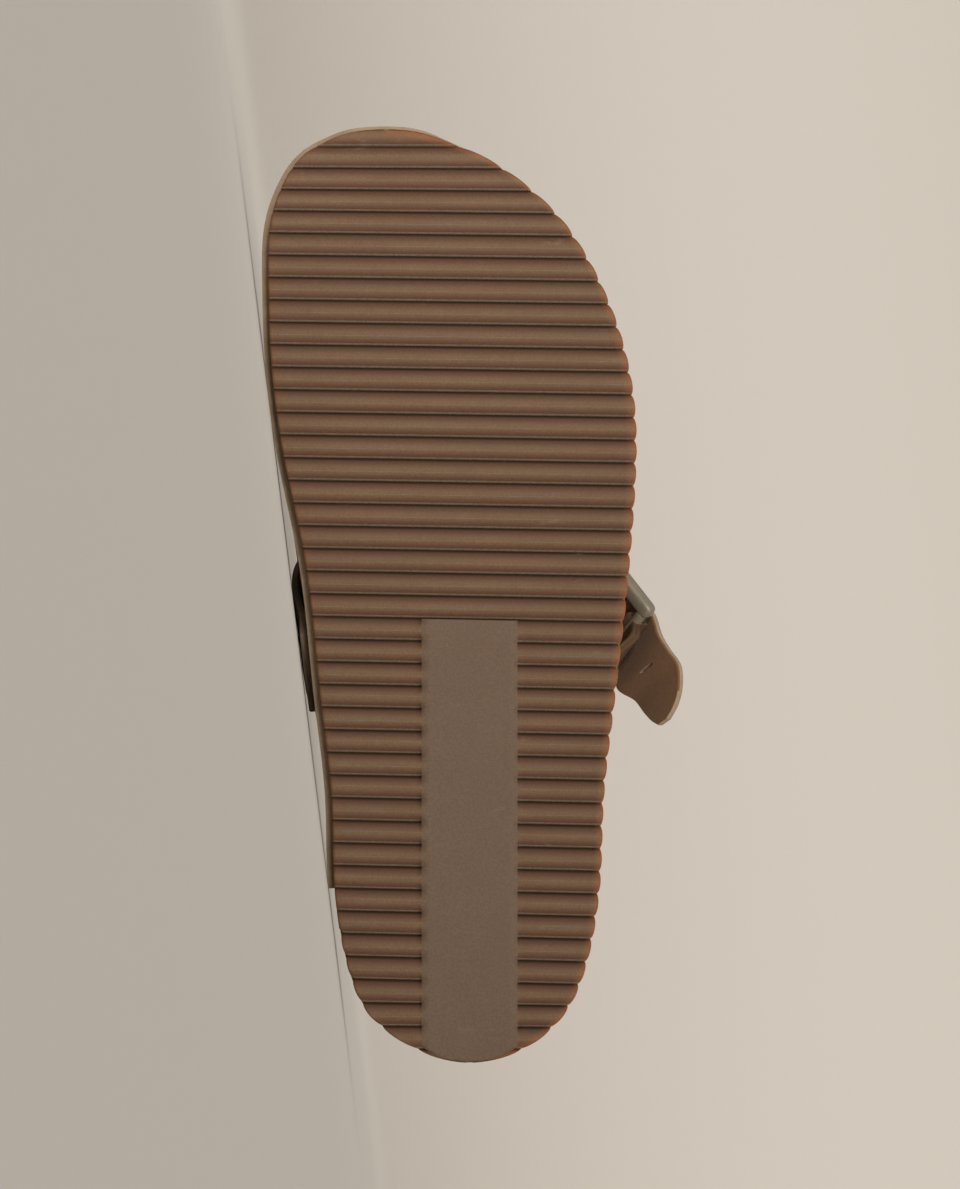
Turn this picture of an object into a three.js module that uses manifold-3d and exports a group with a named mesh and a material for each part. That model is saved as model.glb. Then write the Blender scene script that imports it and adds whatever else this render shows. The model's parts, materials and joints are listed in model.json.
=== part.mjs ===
// A closed leather clog for the left foot: ribbed gum outsole, cork footbed, suede sock,
// suede upper, and an instep strap with a buckle on the outer side.
// Millimetres. The shoe is shaped standing: x runs from the heel to the toe, y to the outer
// side, z up from the rib crests. At the end it is laid down on its inner side.
import * as THREE from "three";
import { mergeVertices } from "three/addons/utils/BufferGeometryUtils.js";
import Module from "manifold-3d";

const wasm = await Module();
wasm.setup();

// Sole
const SOLE_LENGTH = 270;
const SOLE_WIDTH = 107.6;
const OUTSOLE_THICKNESS = 5.7;
const TOE_SPRING = 9;
const TOE_SPRING_START = 0.7;
const HEEL_RISE = 2;
const HEEL_RISE_LENGTH = 25;
const SEAT_GAP = 0.3;
const OUTER_INSET = 2.3;
const INSET_BLEND = 0.5;

// Tread
const RIB_COUNT = 40;
const RIB_DEPTH = 2.2;
const HEEL_RIM = 3.9;
const TOE_RIM = 5;
const RIB_SLANT_HEEL = 1.6;
const RIB_SLANT_TOE = 0.5;
const SCALLOP_DEPTH = 0.9;
const INNER_SCALLOP_END = 0.14;
const PANEL_WIDTH = 27.3;
const PANEL_RIBS = 19;
const PANEL_DRAFT = 0.5;
const RIB_PITCH = (SOLE_LENGTH - HEEL_RIM - TOE_RIM) / RIB_COUNT;
const LAST_TROUGH = SOLE_LENGTH - TOE_RIM;
const PANEL_FRONT = HEEL_RIM + PANEL_RIBS * RIB_PITCH;

// Footbed and sock
const FOOTBED_BALL = 17;
const FOOTBED_HEEL = 24;
const RIM_BALL = 23;
const RIM_HEEL = 34;
const RIM_WIDTH = 3.6;
const RIM_MARGIN = 0.6;
const SOCK_THICKNESS = 1.5;

// Upper
const UPPER_WALL = 1.8;
const UPPER_LOWER_EDGE = 9;
const INSTEP_HEIGHT = 84;
const WALL_OVER_RIM = 1;
const QUARTER_END_LEAN = 1;
const TOE_SLOPE = 0.2;
const SPINE_FRONT = 0.796;
const UPPER_BACK = 0.15;
const UPPER_END = 0.184;

// Strap
const STRAP_WIDTH = 26;
const STRAP_THICKNESS = 2.2;
const PIECE_GAP = 0.4;
const RIVET_DIAMETER = 7.5;
const RIVET_HEAD = 0.9;
const RIVET_SINK = 1.5;

// Buckle
const BUCKLE_WIDTH = 38;
const BUCKLE_LENGTH = 30;
const BUCKLE_BAR = 5;
const BUCKLE_THICKNESS = 4.4;
const BUCKLE_CORNER = 6;
const HINGE_BAR_DIAMETER = 3.6;
const PIN_WIDTH = 2.8;
const TAB_WIDTH = 22;
const TAB_THICKNESS = 1.5;
const TAB_LENGTH = 20;
const TAB_SLOT = 4.4;
const FAR_BAR_LIFT = 5.4;
const HINGE_BAR_LIFT = 9;

// Densities in grams per cubic millimetre, for the balance of the lying shoe
const RUBBER = 0.0009;
const CORK = 0.00035;
const LEATHER = 0.00085;
const METAL = 0.0075;

// Outline of the sole: shares of its length, and of its width to each side of the heel line
const OUTLINE = [
  { at: 0, inner: 0, outer: 0 },
  { at: 0.0133, inner: -0.139, outer: 0.141 },
  { at: 0.0526, inner: -0.271, outer: 0.256 },
  { at: 0.105, inner: -0.328, outer: 0.314 },
  { at: 0.184, inner: -0.361, outer: 0.349 },
  { at: 0.29, inner: -0.371, outer: 0.362 },
  { at: 0.395, inner: -0.401, outer: 0.392 },
  { at: 0.526, inner: -0.437, outer: 0.428 },
  { at: 0.658, inner: -0.503, outer: 0.448 },
  { at: 0.737, inner: -0.529, outer: 0.431 },
  { at: 0.816, inner: -0.539, outer: 0.372 },
  { at: 0.895, inner: -0.536, outer: 0.263 },
  { at: 0.947, inner: -0.493, outer: 0.131 },
  { at: 0.974, inner: -0.441, outer: 0.023 },
  { at: 0.988, inner: -0.381, outer: -0.064 },
  { at: 0.9985, inner: -0.298, outer: -0.155 },
  { at: 1, inner: -0.223, outer: -0.223 },
];

// Footbed: bed shares the way from ball height to heel height, arch lifts its inner side by a
// share of the heel height, rim shares the way from ball rim to heel rim
const FOOTBED = [
  { at: 0, bed: 1.05, arch: 0, rim: 1 },
  { at: 0.16, bed: 0.95, arch: 0.02, rim: 1 },
  { at: 0.3, bed: 1, arch: 0.1, rim: 0.92 },
  { at: 0.42, bed: 0.9, arch: 0.2, rim: 0.85 },
  { at: 0.55, bed: 0.5, arch: 0.14, rim: 0.5 },
  { at: 0.68, bed: 0.05, arch: 0.03, rim: 0.1 },
  { at: 0.8, bed: 0.05, arch: 0, rim: -0.02 },
  { at: 1, bed: 0, arch: 0, rim: -0.02 },
];

// Upper: ridge height as a share of the instep height, ridge place and bulges of both walls
// as shares of the sole's width, and how square the section is (2 is an ellipse)
const UPPER = [
  { at: 0.1, ridge: 1.05, across: -0.04, square: 2.8, innerBulge: 0, outerBulge: 0 },
  { at: 0.28, ridge: 1.05, across: -0.05, square: 2.8, innerBulge: 0.012, outerBulge: 0 },
  { at: 0.4, ridge: 1.05, across: -0.06, square: 2.7, innerBulge: 0.022, outerBulge: 0 },
  { at: 0.5, ridge: 1, across: -0.07, square: 2.5, innerBulge: 0.026, outerBulge: 0.005 },
  { at: 0.58, ridge: 0.935, across: -0.085, square: 2.35, innerBulge: 0.018, outerBulge: 0.005 },
  { at: 0.66, ridge: 0.835, across: -0.11, square: 2.3, innerBulge: 0.005, outerBulge: 0 },
  { at: 0.74, ridge: 0.745, across: -0.135, square: 2.3, innerBulge: 0, outerBulge: 0 },
  { at: 0.796, ridge: 0.695, across: -0.15, square: 2.35, innerBulge: 0, outerBulge: 0 },
  { at: 1, ridge: 0.695, across: -0.15, square: 2.4, innerBulge: 0, outerBulge: 0 },
];

// Collar seen from the side, from the throat down to the end of the quarters: shares of the
// sole's length and of the instep height
const COLLAR = [
  { at: 0.51, up: 1.03 },
  { at: 0.49, up: 0.965 },
  { at: 0.46, up: 0.895 },
  { at: 0.415, up: 0.775 },
  { at: 0.37, up: 0.64 },
  { at: 0.333, up: 0.535 },
  { at: 0.3, up: 0.45 },
  { at: 0.259, up: 0.39 },
  { at: 0.215, up: 0.355 },
  { at: 0.19, up: 0.32 },
];

// Middle of the strap on the upper: turn is -1 at the inner wall's foot, 0 on the ridge and
// 1 at the outer wall's foot, at is a share of the sole's length
const STRAP_PATH = [
  { turn: -1.44, at: 0.415 },
  { turn: -1.2, at: 0.426 },
  { turn: -1, at: 0.439 },
  { turn: -0.86, at: 0.471 },
  { turn: -0.7, at: 0.497 },
  { turn: -0.52, at: 0.522 },
  { turn: -0.34, at: 0.545 },
  { turn: -0.15, at: 0.559 },
  { turn: 0, at: 0.563 },
  { turn: 0.12, at: 0.559 },
  { turn: 0.24, at: 0.543 },
];

// Where the buckle's middle sits on the outer wall
const BUCKLE_PLACE = { turn: 0.54, at: 0.478 };

// Free end of the strap past the buckle, in strap widths from the hinge bar: back towards the
// heel, out from the bar, down; lean turns the width outwards, in degrees; wide is its share
// of the strap's width
const FREE_END = [
  { back: 0.173, out: 0.07, down: 0.12, lean: 34, wide: 1 },
  { back: 0.335, out: 0.13, down: 0.26, lean: 38, wide: 1 },
  { back: 0.488, out: 0.281, down: 0.438, lean: 40, wide: 0.84 },
  { back: 0.677, out: 0.335, down: 0.592, lean: 44, wide: 0.62 },
  { back: 0.819, out: 0.35, down: 0.688, lean: 46, wide: 0.4 },
  { back: 0.931, out: 0.342, down: 0.746, lean: 45, wide: 0.14 },
];

// Slopes of a smooth curve through the rows, by the three rows around each
function slopeAt(xs, ys, i) {
  const before = Math.max(i - 1, 0);
  const after = Math.min(i + 1, xs.length - 1);
  return (ys[after] - ys[before]) / (xs[after] - xs[before]);
}

// Smooth curve through one column of a table; warp spreads the rows before it is drawn
function smoothColumn(rows, column, warp = (share) => share) {
  const xs = rows.map((row) => warp(row.at));
  const ys = rows.map((row) => row[column]);
  return (share) => {
    const x = THREE.MathUtils.clamp(warp(share), xs[0], xs.at(-1));
    const found = xs.findIndex((value) => value >= x);
    const i = Math.max(found, 1);
    const width = xs[i] - xs[i - 1];
    const t = (x - xs[i - 1]) / width;
    const rise = (ys[i] - ys[i - 1]) / width;
    const m0 = slopeAt(xs, ys, i - 1);
    const m1 = slopeAt(xs, ys, i);
    const bend0 = t * (1 - t) * (1 - t) * width * (m0 - rise);
    const bend1 = t * t * (t - 1) * width * (m1 - rise);
    return ys[i - 1] + (ys[i] - ys[i - 1]) * t + bend0 + bend1;
  };
}

// Round ends: rows are spread as on a half circle, so the outline closes squarely at both tips
function roundEnds(share) {
  return Math.acos(1 - 2 * THREE.MathUtils.clamp(share, 0, 1));
}

function shareOfTurn(angle) {
  return (1 - Math.cos(angle)) / 2;
}

const outlineInner = smoothColumn(OUTLINE, "inner", roundEnds);
const outlineOuter = smoothColumn(OUTLINE, "outer", roundEnds);
const bedShare = smoothColumn(FOOTBED, "bed");
const archShare = smoothColumn(FOOTBED, "arch");
const rimShare = smoothColumn(FOOTBED, "rim");
const ridgeShare = smoothColumn(UPPER, "ridge");
const acrossShare = smoothColumn(UPPER, "across");
const squareness = smoothColumn(UPPER, "square");
const innerBulge = smoothColumn(UPPER, "innerBulge");
const outerBulge = smoothColumn(UPPER, "outerBulge");

// Height of the rib crests over the plane that heel and forefoot share
function groundLift(x) {
  const share = x / SOLE_LENGTH;
  const toe = Math.max(share - TOE_SPRING_START, 0) / (1 - TOE_SPRING_START);
  const heel = Math.max(HEEL_RISE_LENGTH - x, 0) / HEEL_RISE_LENGTH;
  return TOE_SPRING * Math.min(toe, 1.03) ** 1.8 + HEEL_RISE * Math.min(heel, 1.1) ** 2;
}

// Edge of the outline on one side (-1 inner, 1 outer), drawn in by inset all round
function edge(x, side, inset = 0) {
  const stretched = (x - SOLE_LENGTH / 2) * (SOLE_LENGTH / (SOLE_LENGTH - 2 * inset));
  const share = stretched / SOLE_LENGTH + 0.5;
  const reach = side < 0 ? outlineInner(share) : outlineOuter(share);
  return reach * (SOLE_WIDTH - 2 * inset);
}

// Point on the outline pushed outwards by offset, at an angle of the half circle of roundEnds
function outlinePoint(angle, side, offset) {
  const step = 0.004;
  const plain = (a) => {
    const x = shareOfTurn(a) * SOLE_LENGTH;
    return new THREE.Vector2(x, edge(x, side));
  };
  const low = Math.max(angle - step, 0);
  const high = Math.min(angle + step, Math.PI);
  const along = plain(high).sub(plain(low)).normalize();
  const outwards = new THREE.Vector2(along.y, -along.x).multiplyScalar(-side);
  return plain(angle).add(outwards.multiplyScalar(offset));
}

// How far footbed and upper stand in from the sole's outer edge; nothing at both tips
function sideInset(angle, side) {
  const heel = THREE.MathUtils.smoothstep(angle, 0, INSET_BLEND);
  const toe = THREE.MathUtils.smoothstep(Math.PI - angle, 0, INSET_BLEND);
  return side < 0 ? 0 : OUTER_INSET * heel * toe;
}

// Angle at which the outline of the footbed, pushed outwards by offset, reaches x
function angleWhere(x, side, offset) {
  let low = 0;
  let high = Math.PI;
  for (let i = 0; i < 40; i += 1) {
    const middle = (low + high) / 2;
    const tooLow = outlinePoint(middle, side, offset - sideInset(middle, side)).x < x;
    low = tooLow ? middle : low;
    high = tooLow ? high : middle;
  }
  return low;
}

function footbedEdge(x, side) {
  const angle = angleWhere(x, side, 0);
  return outlinePoint(angle, side, -sideInset(angle, side)).y;
}

// Closed mesh from points and triangles, facing outwards
function closedGeometry(points, triangles) {
  const geometry = new THREE.BufferGeometry();
  geometry.setAttribute("position", new THREE.Float32BufferAttribute(points.flatMap((p) => [p.x, p.y, p.z]), 3));
  geometry.setIndex(triangles.flat());
  const merged = mergeVertices(geometry, 1e-4);
  const index = merged.index.array;
  const kept = [];
  for (let i = 0; i < index.length; i += 3) {
    const [a, b, c] = index.slice(i, i + 3);
    if (a !== b && b !== c && c !== a) {
      kept.push(a, b, c);
    }
  }
  merged.setIndex(kept);
  return signedVolume(merged) < 0 ? turnedOut(merged) : merged;
}

function turnedOut(geometry) {
  const index = Array.from(geometry.index.array);
  for (let i = 0; i < index.length; i += 3) {
    [index[i], index[i + 1]] = [index[i + 1], index[i]];
  }
  geometry.setIndex(index);
  return geometry;
}

// Hands the volume and centre of the tetrahedron over each triangle to a callback
function eachTetrahedron(geometry, visit) {
  const index = geometry.index.array;
  const position = geometry.attributes.position;
  const [a, b, c] = [new THREE.Vector3(), new THREE.Vector3(), new THREE.Vector3()];
  for (let i = 0; i < index.length; i += 3) {
    a.fromBufferAttribute(position, index[i]);
    b.fromBufferAttribute(position, index[i + 1]);
    c.fromBufferAttribute(position, index[i + 2]);
    const volume = a.dot(new THREE.Vector3().crossVectors(b, c)) / 6;
    visit(volume, a.clone().add(b).add(c).divideScalar(4));
  }
}

function signedVolume(geometry) {
  let total = 0;
  eachTetrahedron(geometry, (volume) => {
    total += volume;
  });
  return total;
}

// Ring of points drawn flat in its own plane, always counterclockwise
function flattened(ring) {
  const normal = new THREE.Vector3();
  ring.forEach((point, i) => {
    const next = ring[(i + 1) % ring.length];
    normal.add(new THREE.Vector3().crossVectors(point, next));
  });
  normal.normalize();
  const side = ring[Math.floor(ring.length / 2)].clone().sub(ring[0]);
  side.addScaledVector(normal, -side.dot(normal)).normalize();
  const up = new THREE.Vector3().crossVectors(normal, side);
  return ring.map((point) => new THREE.Vector2(point.dot(side), point.dot(up)));
}

// Triangles over a ring, turned in the ring's own order
function capTriangles(ring) {
  const flat = flattened(ring);
  return THREE.ShapeUtils.triangulateShape(flat, []).map(([a, b, c]) => {
    const turned = flat[b].clone().sub(flat[a]).cross(flat[c].clone().sub(flat[a]));
    return turned > 0 ? [a, b, c] : [a, c, b];
  });
}

// Skin over rings of equal count, with both end rings closed
function loft(rings) {
  const count = rings[0].length;
  const triangles = [];
  for (let i = 0; i + 1 < rings.length; i += 1) {
    for (let j = 0; j < count; j += 1) {
      const k = (j + 1) % count;
      const [a, b, c, d] = [i * count + j, i * count + k, (i + 1) * count + k, (i + 1) * count + j];
      triangles.push([a, b, c], [a, c, d]);
    }
  }
  const last = (rings.length - 1) * count;
  for (const [a, b, c] of capTriangles(rings[0])) {
    triangles.push([a, c, b]);
  }
  for (const [a, b, c] of capTriangles(rings.at(-1))) {
    triangles.push([last + a, last + b, last + c]);
  }
  return closedGeometry(rings.flat(), triangles);
}

function toManifold(geometry) {
  const bare = geometry.clone();
  bare.deleteAttribute("normal");
  bare.deleteAttribute("uv");
  const merged = mergeVertices(bare, 1e-4);
  return new wasm.Manifold(
    new wasm.Mesh({
      numProp: 3,
      vertProperties: new Float32Array(merged.attributes.position.array),
      triVerts: new Uint32Array(merged.index.array),
    }),
  );
}

function fromManifold(solid) {
  const mesh = solid.getMesh();
  const geometry = new THREE.BufferGeometry();
  geometry.setAttribute("position", new THREE.BufferAttribute(new Float32Array(mesh.vertProperties), 3));
  geometry.setIndex(new THREE.BufferAttribute(new Uint32Array(mesh.triVerts), 1));
  return geometry;
}

// Depth of the tread over one rib, from its trough to the next one
const RIB_PROFILE = [
  { along: 0, depth: 1 },
  { along: 0.13, depth: 0.3 },
  { along: 0.28, depth: 0.03 },
  { along: 0.5, depth: 0 },
  { along: 0.72, depth: 0.03 },
  { along: 0.87, depth: 0.3 },
];

function treadStations() {
  const stations = [
    { x: 0.06 * HEEL_RIM, depth: 0 },
    { x: 0.3 * HEEL_RIM, depth: 0 },
    { x: 0.75 * HEEL_RIM, depth: 0.1 },
  ];
  for (let rib = 0; rib < RIB_COUNT; rib += 1) {
    for (const { along, depth } of RIB_PROFILE) {
      stations.push({ x: HEEL_RIM + (rib + along) * RIB_PITCH, depth });
    }
  }
  stations.push({ x: LAST_TROUGH, depth: 1 });
  for (const [share, depth] of [[0.22, 0.25], [0.5, 0.02], [0.76, 0], [0.92, 0], [0.98, 0]]) {
    stations.push({ x: LAST_TROUGH + TOE_RIM * share, depth });
  }
  return stations;
}

// One section of the outsole. The panel's corners stay in every section and lie flat past it.
function outsoleRing({ x, depth }) {
  const slant = THREE.MathUtils.degToRad(
    THREE.MathUtils.lerp(RIB_SLANT_HEEL, RIB_SLANT_TOE, x / SOLE_LENGTH),
  );
  const bothEnds = Math.min(x - HEEL_RIM, LAST_TROUGH - x) / (3 * RIB_PITCH);
  const shear = Math.tan(slant) * THREE.MathUtils.clamp(bothEnds, 0, 1);
  const side = (sign, scallop) => {
    const reach = edge(x, sign) - sign * SCALLOP_DEPTH * depth * scallop;
    const along = x - reach * shear;
    return { along, reach: edge(along, sign) - sign * SCALLOP_DEPTH * depth * scallop };
  };
  const innerScallop = x < INNER_SCALLOP_END * SOLE_LENGTH ? 1 : 0;
  const inner = side(-1, innerScallop);
  const outer = side(1, 1);
  const onPanel = x < PANEL_FRONT - PANEL_DRAFT / 2;
  const between = (share) => THREE.MathUtils.lerp(inner.reach, outer.reach, share);
  const left = THREE.MathUtils.clamp(-PANEL_WIDTH / 2, between(0.1), between(0.4));
  const right = THREE.MathUtils.clamp(PANEL_WIDTH / 2, between(0.6), between(0.9));
  const tread = groundLift(x) + RIB_DEPTH * depth;
  const panel = onPanel ? groundLift(x) : tread;
  const top = groundLift(x) + OUTSOLE_THICKNESS;
  const point = (y, z) => new THREE.Vector3(x - y * shear, y, z);
  return [
    new THREE.Vector3(inner.along, inner.reach, tread),
    point(left - PANEL_DRAFT / 2, tread),
    point(left, panel),
    point(right, panel),
    point(right + PANEL_DRAFT / 2, tread),
    new THREE.Vector3(outer.along, outer.reach, tread),
    new THREE.Vector3(outer.along, outer.reach, top),
    new THREE.Vector3(inner.along, inner.reach, top),
  ];
}

function outsoleGeometry() {
  const stations = treadStations();
  stations.push({ x: PANEL_FRONT - PANEL_DRAFT, depth: 0.95 });
  stations.sort((a, b) => a.x - b.x);
  return loft(stations.map(outsoleRing));
}

function rimHeight(x) {
  return RIM_BALL + (RIM_HEEL - RIM_BALL) * rimShare(x / SOLE_LENGTH) + groundLift(x);
}

// Height of the footbed: across is -1 at the inner rim, 0 in the middle and 1 at the outer rim
function bedHeight(x, across) {
  const share = x / SOLE_LENGTH;
  const middle = FOOTBED_BALL + (FOOTBED_HEEL - FOOTBED_BALL) * bedShare(share) + groundLift(x);
  const arch = Math.max(-across, 0) * archShare(share) * FOOTBED_HEEL;
  const cup = (rimHeight(x) - middle) * Math.abs(across) ** 6;
  return Math.min(middle + arch + cup, rimHeight(x));
}

const BED_ROWS = [-1, -0.93, -0.8, -0.5, 0, 0.5, 0.8, 0.93, 1];

// Sections of the footbed, closer together at both tips
function footbedStations() {
  const count = 43;
  const stations = [];
  for (let i = 0; i <= count; i += 1) {
    const angle = THREE.MathUtils.lerp(0.09, Math.PI - 0.09, i / count);
    stations.push(shareOfTurn(angle) * SOLE_LENGTH);
  }
  return stations;
}

function bedPoint(x, across, lift) {
  const outerEdge = footbedEdge(x, 1);
  const whole = (share) => THREE.MathUtils.lerp(footbedEdge(x, -1), outerEdge, share);
  const drawnIn = edge(x, 1, RIM_WIDTH) - edge(x, 1) + outerEdge;
  const inner = THREE.MathUtils.clamp(edge(x, -1, RIM_WIDTH), whole(0.02), whole(0.4));
  const outer = THREE.MathUtils.clamp(drawnIn, whole(0.6), whole(0.98));
  const y = THREE.MathUtils.lerp(inner, outer, (across + 1) / 2);
  return new THREE.Vector3(x, y, bedHeight(x, across) + lift);
}

function hasBed(x) {
  const tip = RIM_WIDTH + RIM_MARGIN;
  return x > tip && x < SOLE_LENGTH - tip;
}

// Flat top of the rim where a section lies past the bed
function rimPoint(x, across) {
  const reach = (0.35 * across + 1) / 2;
  const y = THREE.MathUtils.lerp(footbedEdge(x, -1), footbedEdge(x, 1), reach);
  return new THREE.Vector3(x, y, rimHeight(x));
}

function midsoleGeometry() {
  const rings = footbedStations().map((x) => {
    const sole = groundLift(x) + OUTSOLE_THICKNESS + SEAT_GAP;
    return [
      new THREE.Vector3(x, footbedEdge(x, -1), sole),
      new THREE.Vector3(x, footbedEdge(x, -1), rimHeight(x)),
      ...BED_ROWS.map((across) => (hasBed(x) ? bedPoint(x, across, 0) : rimPoint(x, across))),
      new THREE.Vector3(x, footbedEdge(x, 1), rimHeight(x)),
      new THREE.Vector3(x, footbedEdge(x, 1), sole),
    ];
  });
  return loft(rings);
}

function insoleGeometry() {
  const rows = BED_ROWS.slice(1, -1);
  const rings = footbedStations().filter(hasBed).map((x) => {
    const lower = rows.map((across) => bedPoint(x, across, SEAT_GAP));
    const upper = rows.map((across) => bedPoint(x, across, SEAT_GAP + SOCK_THICKNESS));
    return [...lower, ...upper.reverse()];
  });
  return loft(rings);
}

// Foot of the upper's curved part: up to here the wall stands straight beside the footbed
function wallFoot(x) {
  return rimHeight(Math.min(x, SOLE_LENGTH)) + WALL_OVER_RIM;
}

// Point of the upper's skin. The foot point is on the outline at an angle; turn runs from 1 at
// the wall's foot to 0 on the ridge, and past 1 straight down the wall. grow pushes the skin
// outwards from the upper's outer face.
function skinPoint(angle, side, turn, grow) {
  const offset = SEAT_GAP + UPPER_WALL + grow - sideInset(angle, side);
  const foot = outlinePoint(angle, side, offset);
  const shareHere = foot.x / SOLE_LENGTH;
  const spineShare = Math.min(shareOfTurn(angle), SPINE_FRONT);
  const spine = new THREE.Vector2(spineShare * SOLE_LENGTH, acrossShare(spineShare) * SOLE_WIDTH);
  const low = wallFoot(foot.x);
  if (turn > 1) {
    const down = low - (turn - 1) * (low - UPPER_LOWER_EDGE - groundLift(foot.x));
    return new THREE.Vector3(foot.x, foot.y, down);
  }
  const bend = ((1 - turn) * Math.PI) / 2;
  const power = 2 / squareness(shareHere);
  const out = Math.max(Math.cos(bend), 0) ** power;
  const rise = Math.sin(bend) ** power;
  const bulge = (side < 0 ? innerBulge : outerBulge)(shareHere) * SOLE_WIDTH;
  const swell = side * bulge * Math.sin(Math.PI * rise ** 0.7) ** 2;
  const high = ridgeShare(spineShare) * INSTEP_HEIGHT + grow;
  const forward = Math.max(foot.x - spine.x, 0) * out;
  return new THREE.Vector3(
    THREE.MathUtils.lerp(spine.x, foot.x, out),
    THREE.MathUtils.lerp(spine.y, foot.y, out) + swell,
    low + (high - low) * rise - TOE_SLOPE * forward * rise,
  );
}

// The upper's skin as a closed solid; deep lets its foot hang below the sole, to cut it open
function upperSolid(grow, deep) {
  const first = roundEnds(UPPER_BACK);
  const sideSteps = 38;
  const turns = [2, 1, 0.88, 0.76, 0.64, 0.52, 0.4, 0.28, 0.14, 0];
  const walk = [];
  for (let i = 0; i <= sideSteps; i += 1) {
    walk.push({ angle: THREE.MathUtils.lerp(first, Math.PI, i / sideSteps), side: -1 });
  }
  for (let i = sideSteps - 1; i >= 0; i -= 1) {
    walk.push({ angle: THREE.MathUtils.lerp(first, Math.PI, i / sideSteps), side: 1 });
  }
  const points = [];
  for (const { angle, side } of walk) {
    turns.forEach((turn, row) => {
      const point = skinPoint(angle, side, turn, grow);
      if (row === 0) {
        point.z -= deep;
      }
      points.push(point);
    });
  }
  const rows = turns.length;
  const last = walk.length - 1;
  const triangles = [];
  for (let i = 0; i < last; i += 1) {
    for (let j = 0; j + 1 < rows; j += 1) {
      const [a, b] = [i * rows + j, i * rows + j + 1];
      const [c, d] = [(i + 1) * rows + j + 1, (i + 1) * rows + j];
      triangles.push([a, b, c], [a, c, d]);
    }
  }
  for (let i = 0; i < sideSteps; i += 1) {
    const [a, b, c, d] = [i * rows, (i + 1) * rows, (last - i - 1) * rows, (last - i) * rows];
    triangles.push([a, b, c], [a, c, d]);
  }
  for (let j = 0; j + 1 < rows; j += 1) {
    const [a, b] = [j, last * rows + j];
    triangles.push([a, b, b + 1], [a, b + 1, a + 1]);
  }
  return toManifold(closedGeometry(points, triangles));
}

// Slab across the shoe with a side outline in x and z
function sideSlab(outline) {
  const shape = new THREE.Shape(outline);
  const width = 3 * SOLE_WIDTH;
  const geometry = new THREE.ExtrudeGeometry(shape, { depth: width, bevelEnabled: false });
  geometry.translate(0, 0, -width / 2);
  geometry.rotateX(Math.PI / 2);
  return toManifold(geometry);
}

// Everything that the upper leaves open behind the throat and above the collar
function collarCutter() {
  const corners = COLLAR.map(({ at, up }) => new THREE.Vector3(at * SOLE_LENGTH, up * INSTEP_HEIGHT, 0));
  const curve = new THREE.CatmullRomCurve3(corners);
  const line = curve.getPoints(26).map((p) => new THREE.Vector2(p.x, p.y));
  const high = 1.6 * INSTEP_HEIGHT;
  const end = UPPER_END * SOLE_LENGTH;
  return sideSlab([
    new THREE.Vector2(-0.2 * SOLE_LENGTH, high),
    new THREE.Vector2(COLLAR[0].at * SOLE_LENGTH + 0.2 * INSTEP_HEIGHT, high),
    ...line,
    new THREE.Vector2(end, COLLAR.at(-1).up * INSTEP_HEIGHT * 0.8),
    new THREE.Vector2(end - QUARTER_END_LEAN, -0.4 * INSTEP_HEIGHT),
    new THREE.Vector2(-0.2 * SOLE_LENGTH, -0.4 * INSTEP_HEIGHT),
  ]);
}

function upperGeometry() {
  const outer = upperSolid(0, 0);
  const inner = upperSolid(-UPPER_WALL, 3 * UPPER_LOWER_EDGE);
  return fromManifold(outer.subtract(inner).subtract(collarCutter()));
}

// Angle of the outline where the upper's foot on the given side lies at x
function angleAt(x, side) {
  return angleWhere(x, side, SEAT_GAP + UPPER_WALL);
}

// Point and outward normal on the upper: turn is below 0 on the inner side
function onUpper(x, turn) {
  const side = turn < 0 ? -1 : 1;
  const skin = (dx, dTurn) => {
    const t = turn + dTurn;
    const s = t < 0 ? -1 : 1;
    return skinPoint(angleAt(x + dx, s), s, Math.abs(t), 0);
  };
  const step = 0.002 * SOLE_LENGTH;
  const along = skin(step, 0).sub(skin(-step, 0));
  const over = skin(0, 0.02).sub(skin(0, -0.02));
  const normal = along.cross(over).normalize();
  const point = skinPoint(angleAt(x, side), side, Math.abs(turn), 0);
  return { point, normal };
}

// Moves a point near the upper to a height over it, in its own cross section
function liftedOver(point, height) {
  const x = point.x;
  let best = 0;
  let nearest = Infinity;
  for (let turn = -1.6; turn <= 1.6; turn += 0.01) {
    const side = turn < 0 ? -1 : 1;
    const distance = skinPoint(angleAt(x, side), side, Math.abs(turn), 0).distanceTo(point);
    if (distance < nearest) {
      nearest = distance;
      best = turn;
    }
  }
  const { point: foot, normal } = onUpper(x, best);
  return foot.addScaledVector(normal, height);
}

// Frame of the buckle on the outer wall: y up the strap, z out, x along the bars to the back
function buckleMatrix() {
  const { point, normal } = onUpper(BUCKLE_PLACE.at * SOLE_LENGTH, BUCKLE_PLACE.turn);
  const strapLine = new THREE.Vector3(1, 0, 1);
  const up = strapLine.addScaledVector(normal, -strapLine.dot(normal)).normalize();
  const back = new THREE.Vector3().crossVectors(up, normal);
  return new THREE.Matrix4().makeBasis(back, up, normal).setPosition(point);
}

const BUCKLE = buckleMatrix();
const BAR_PLACE = (BUCKLE_LENGTH - BUCKLE_BAR) / 2;
const TIP_ANGLE = Math.atan2(HINGE_BAR_LIFT - FAR_BAR_LIFT, 2 * BAR_PLACE);
const STRAP_OVER_BAR = HINGE_BAR_LIFT + HINGE_BAR_DIAMETER / 2 + TAB_THICKNESS + 2 * PIECE_GAP;

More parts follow.
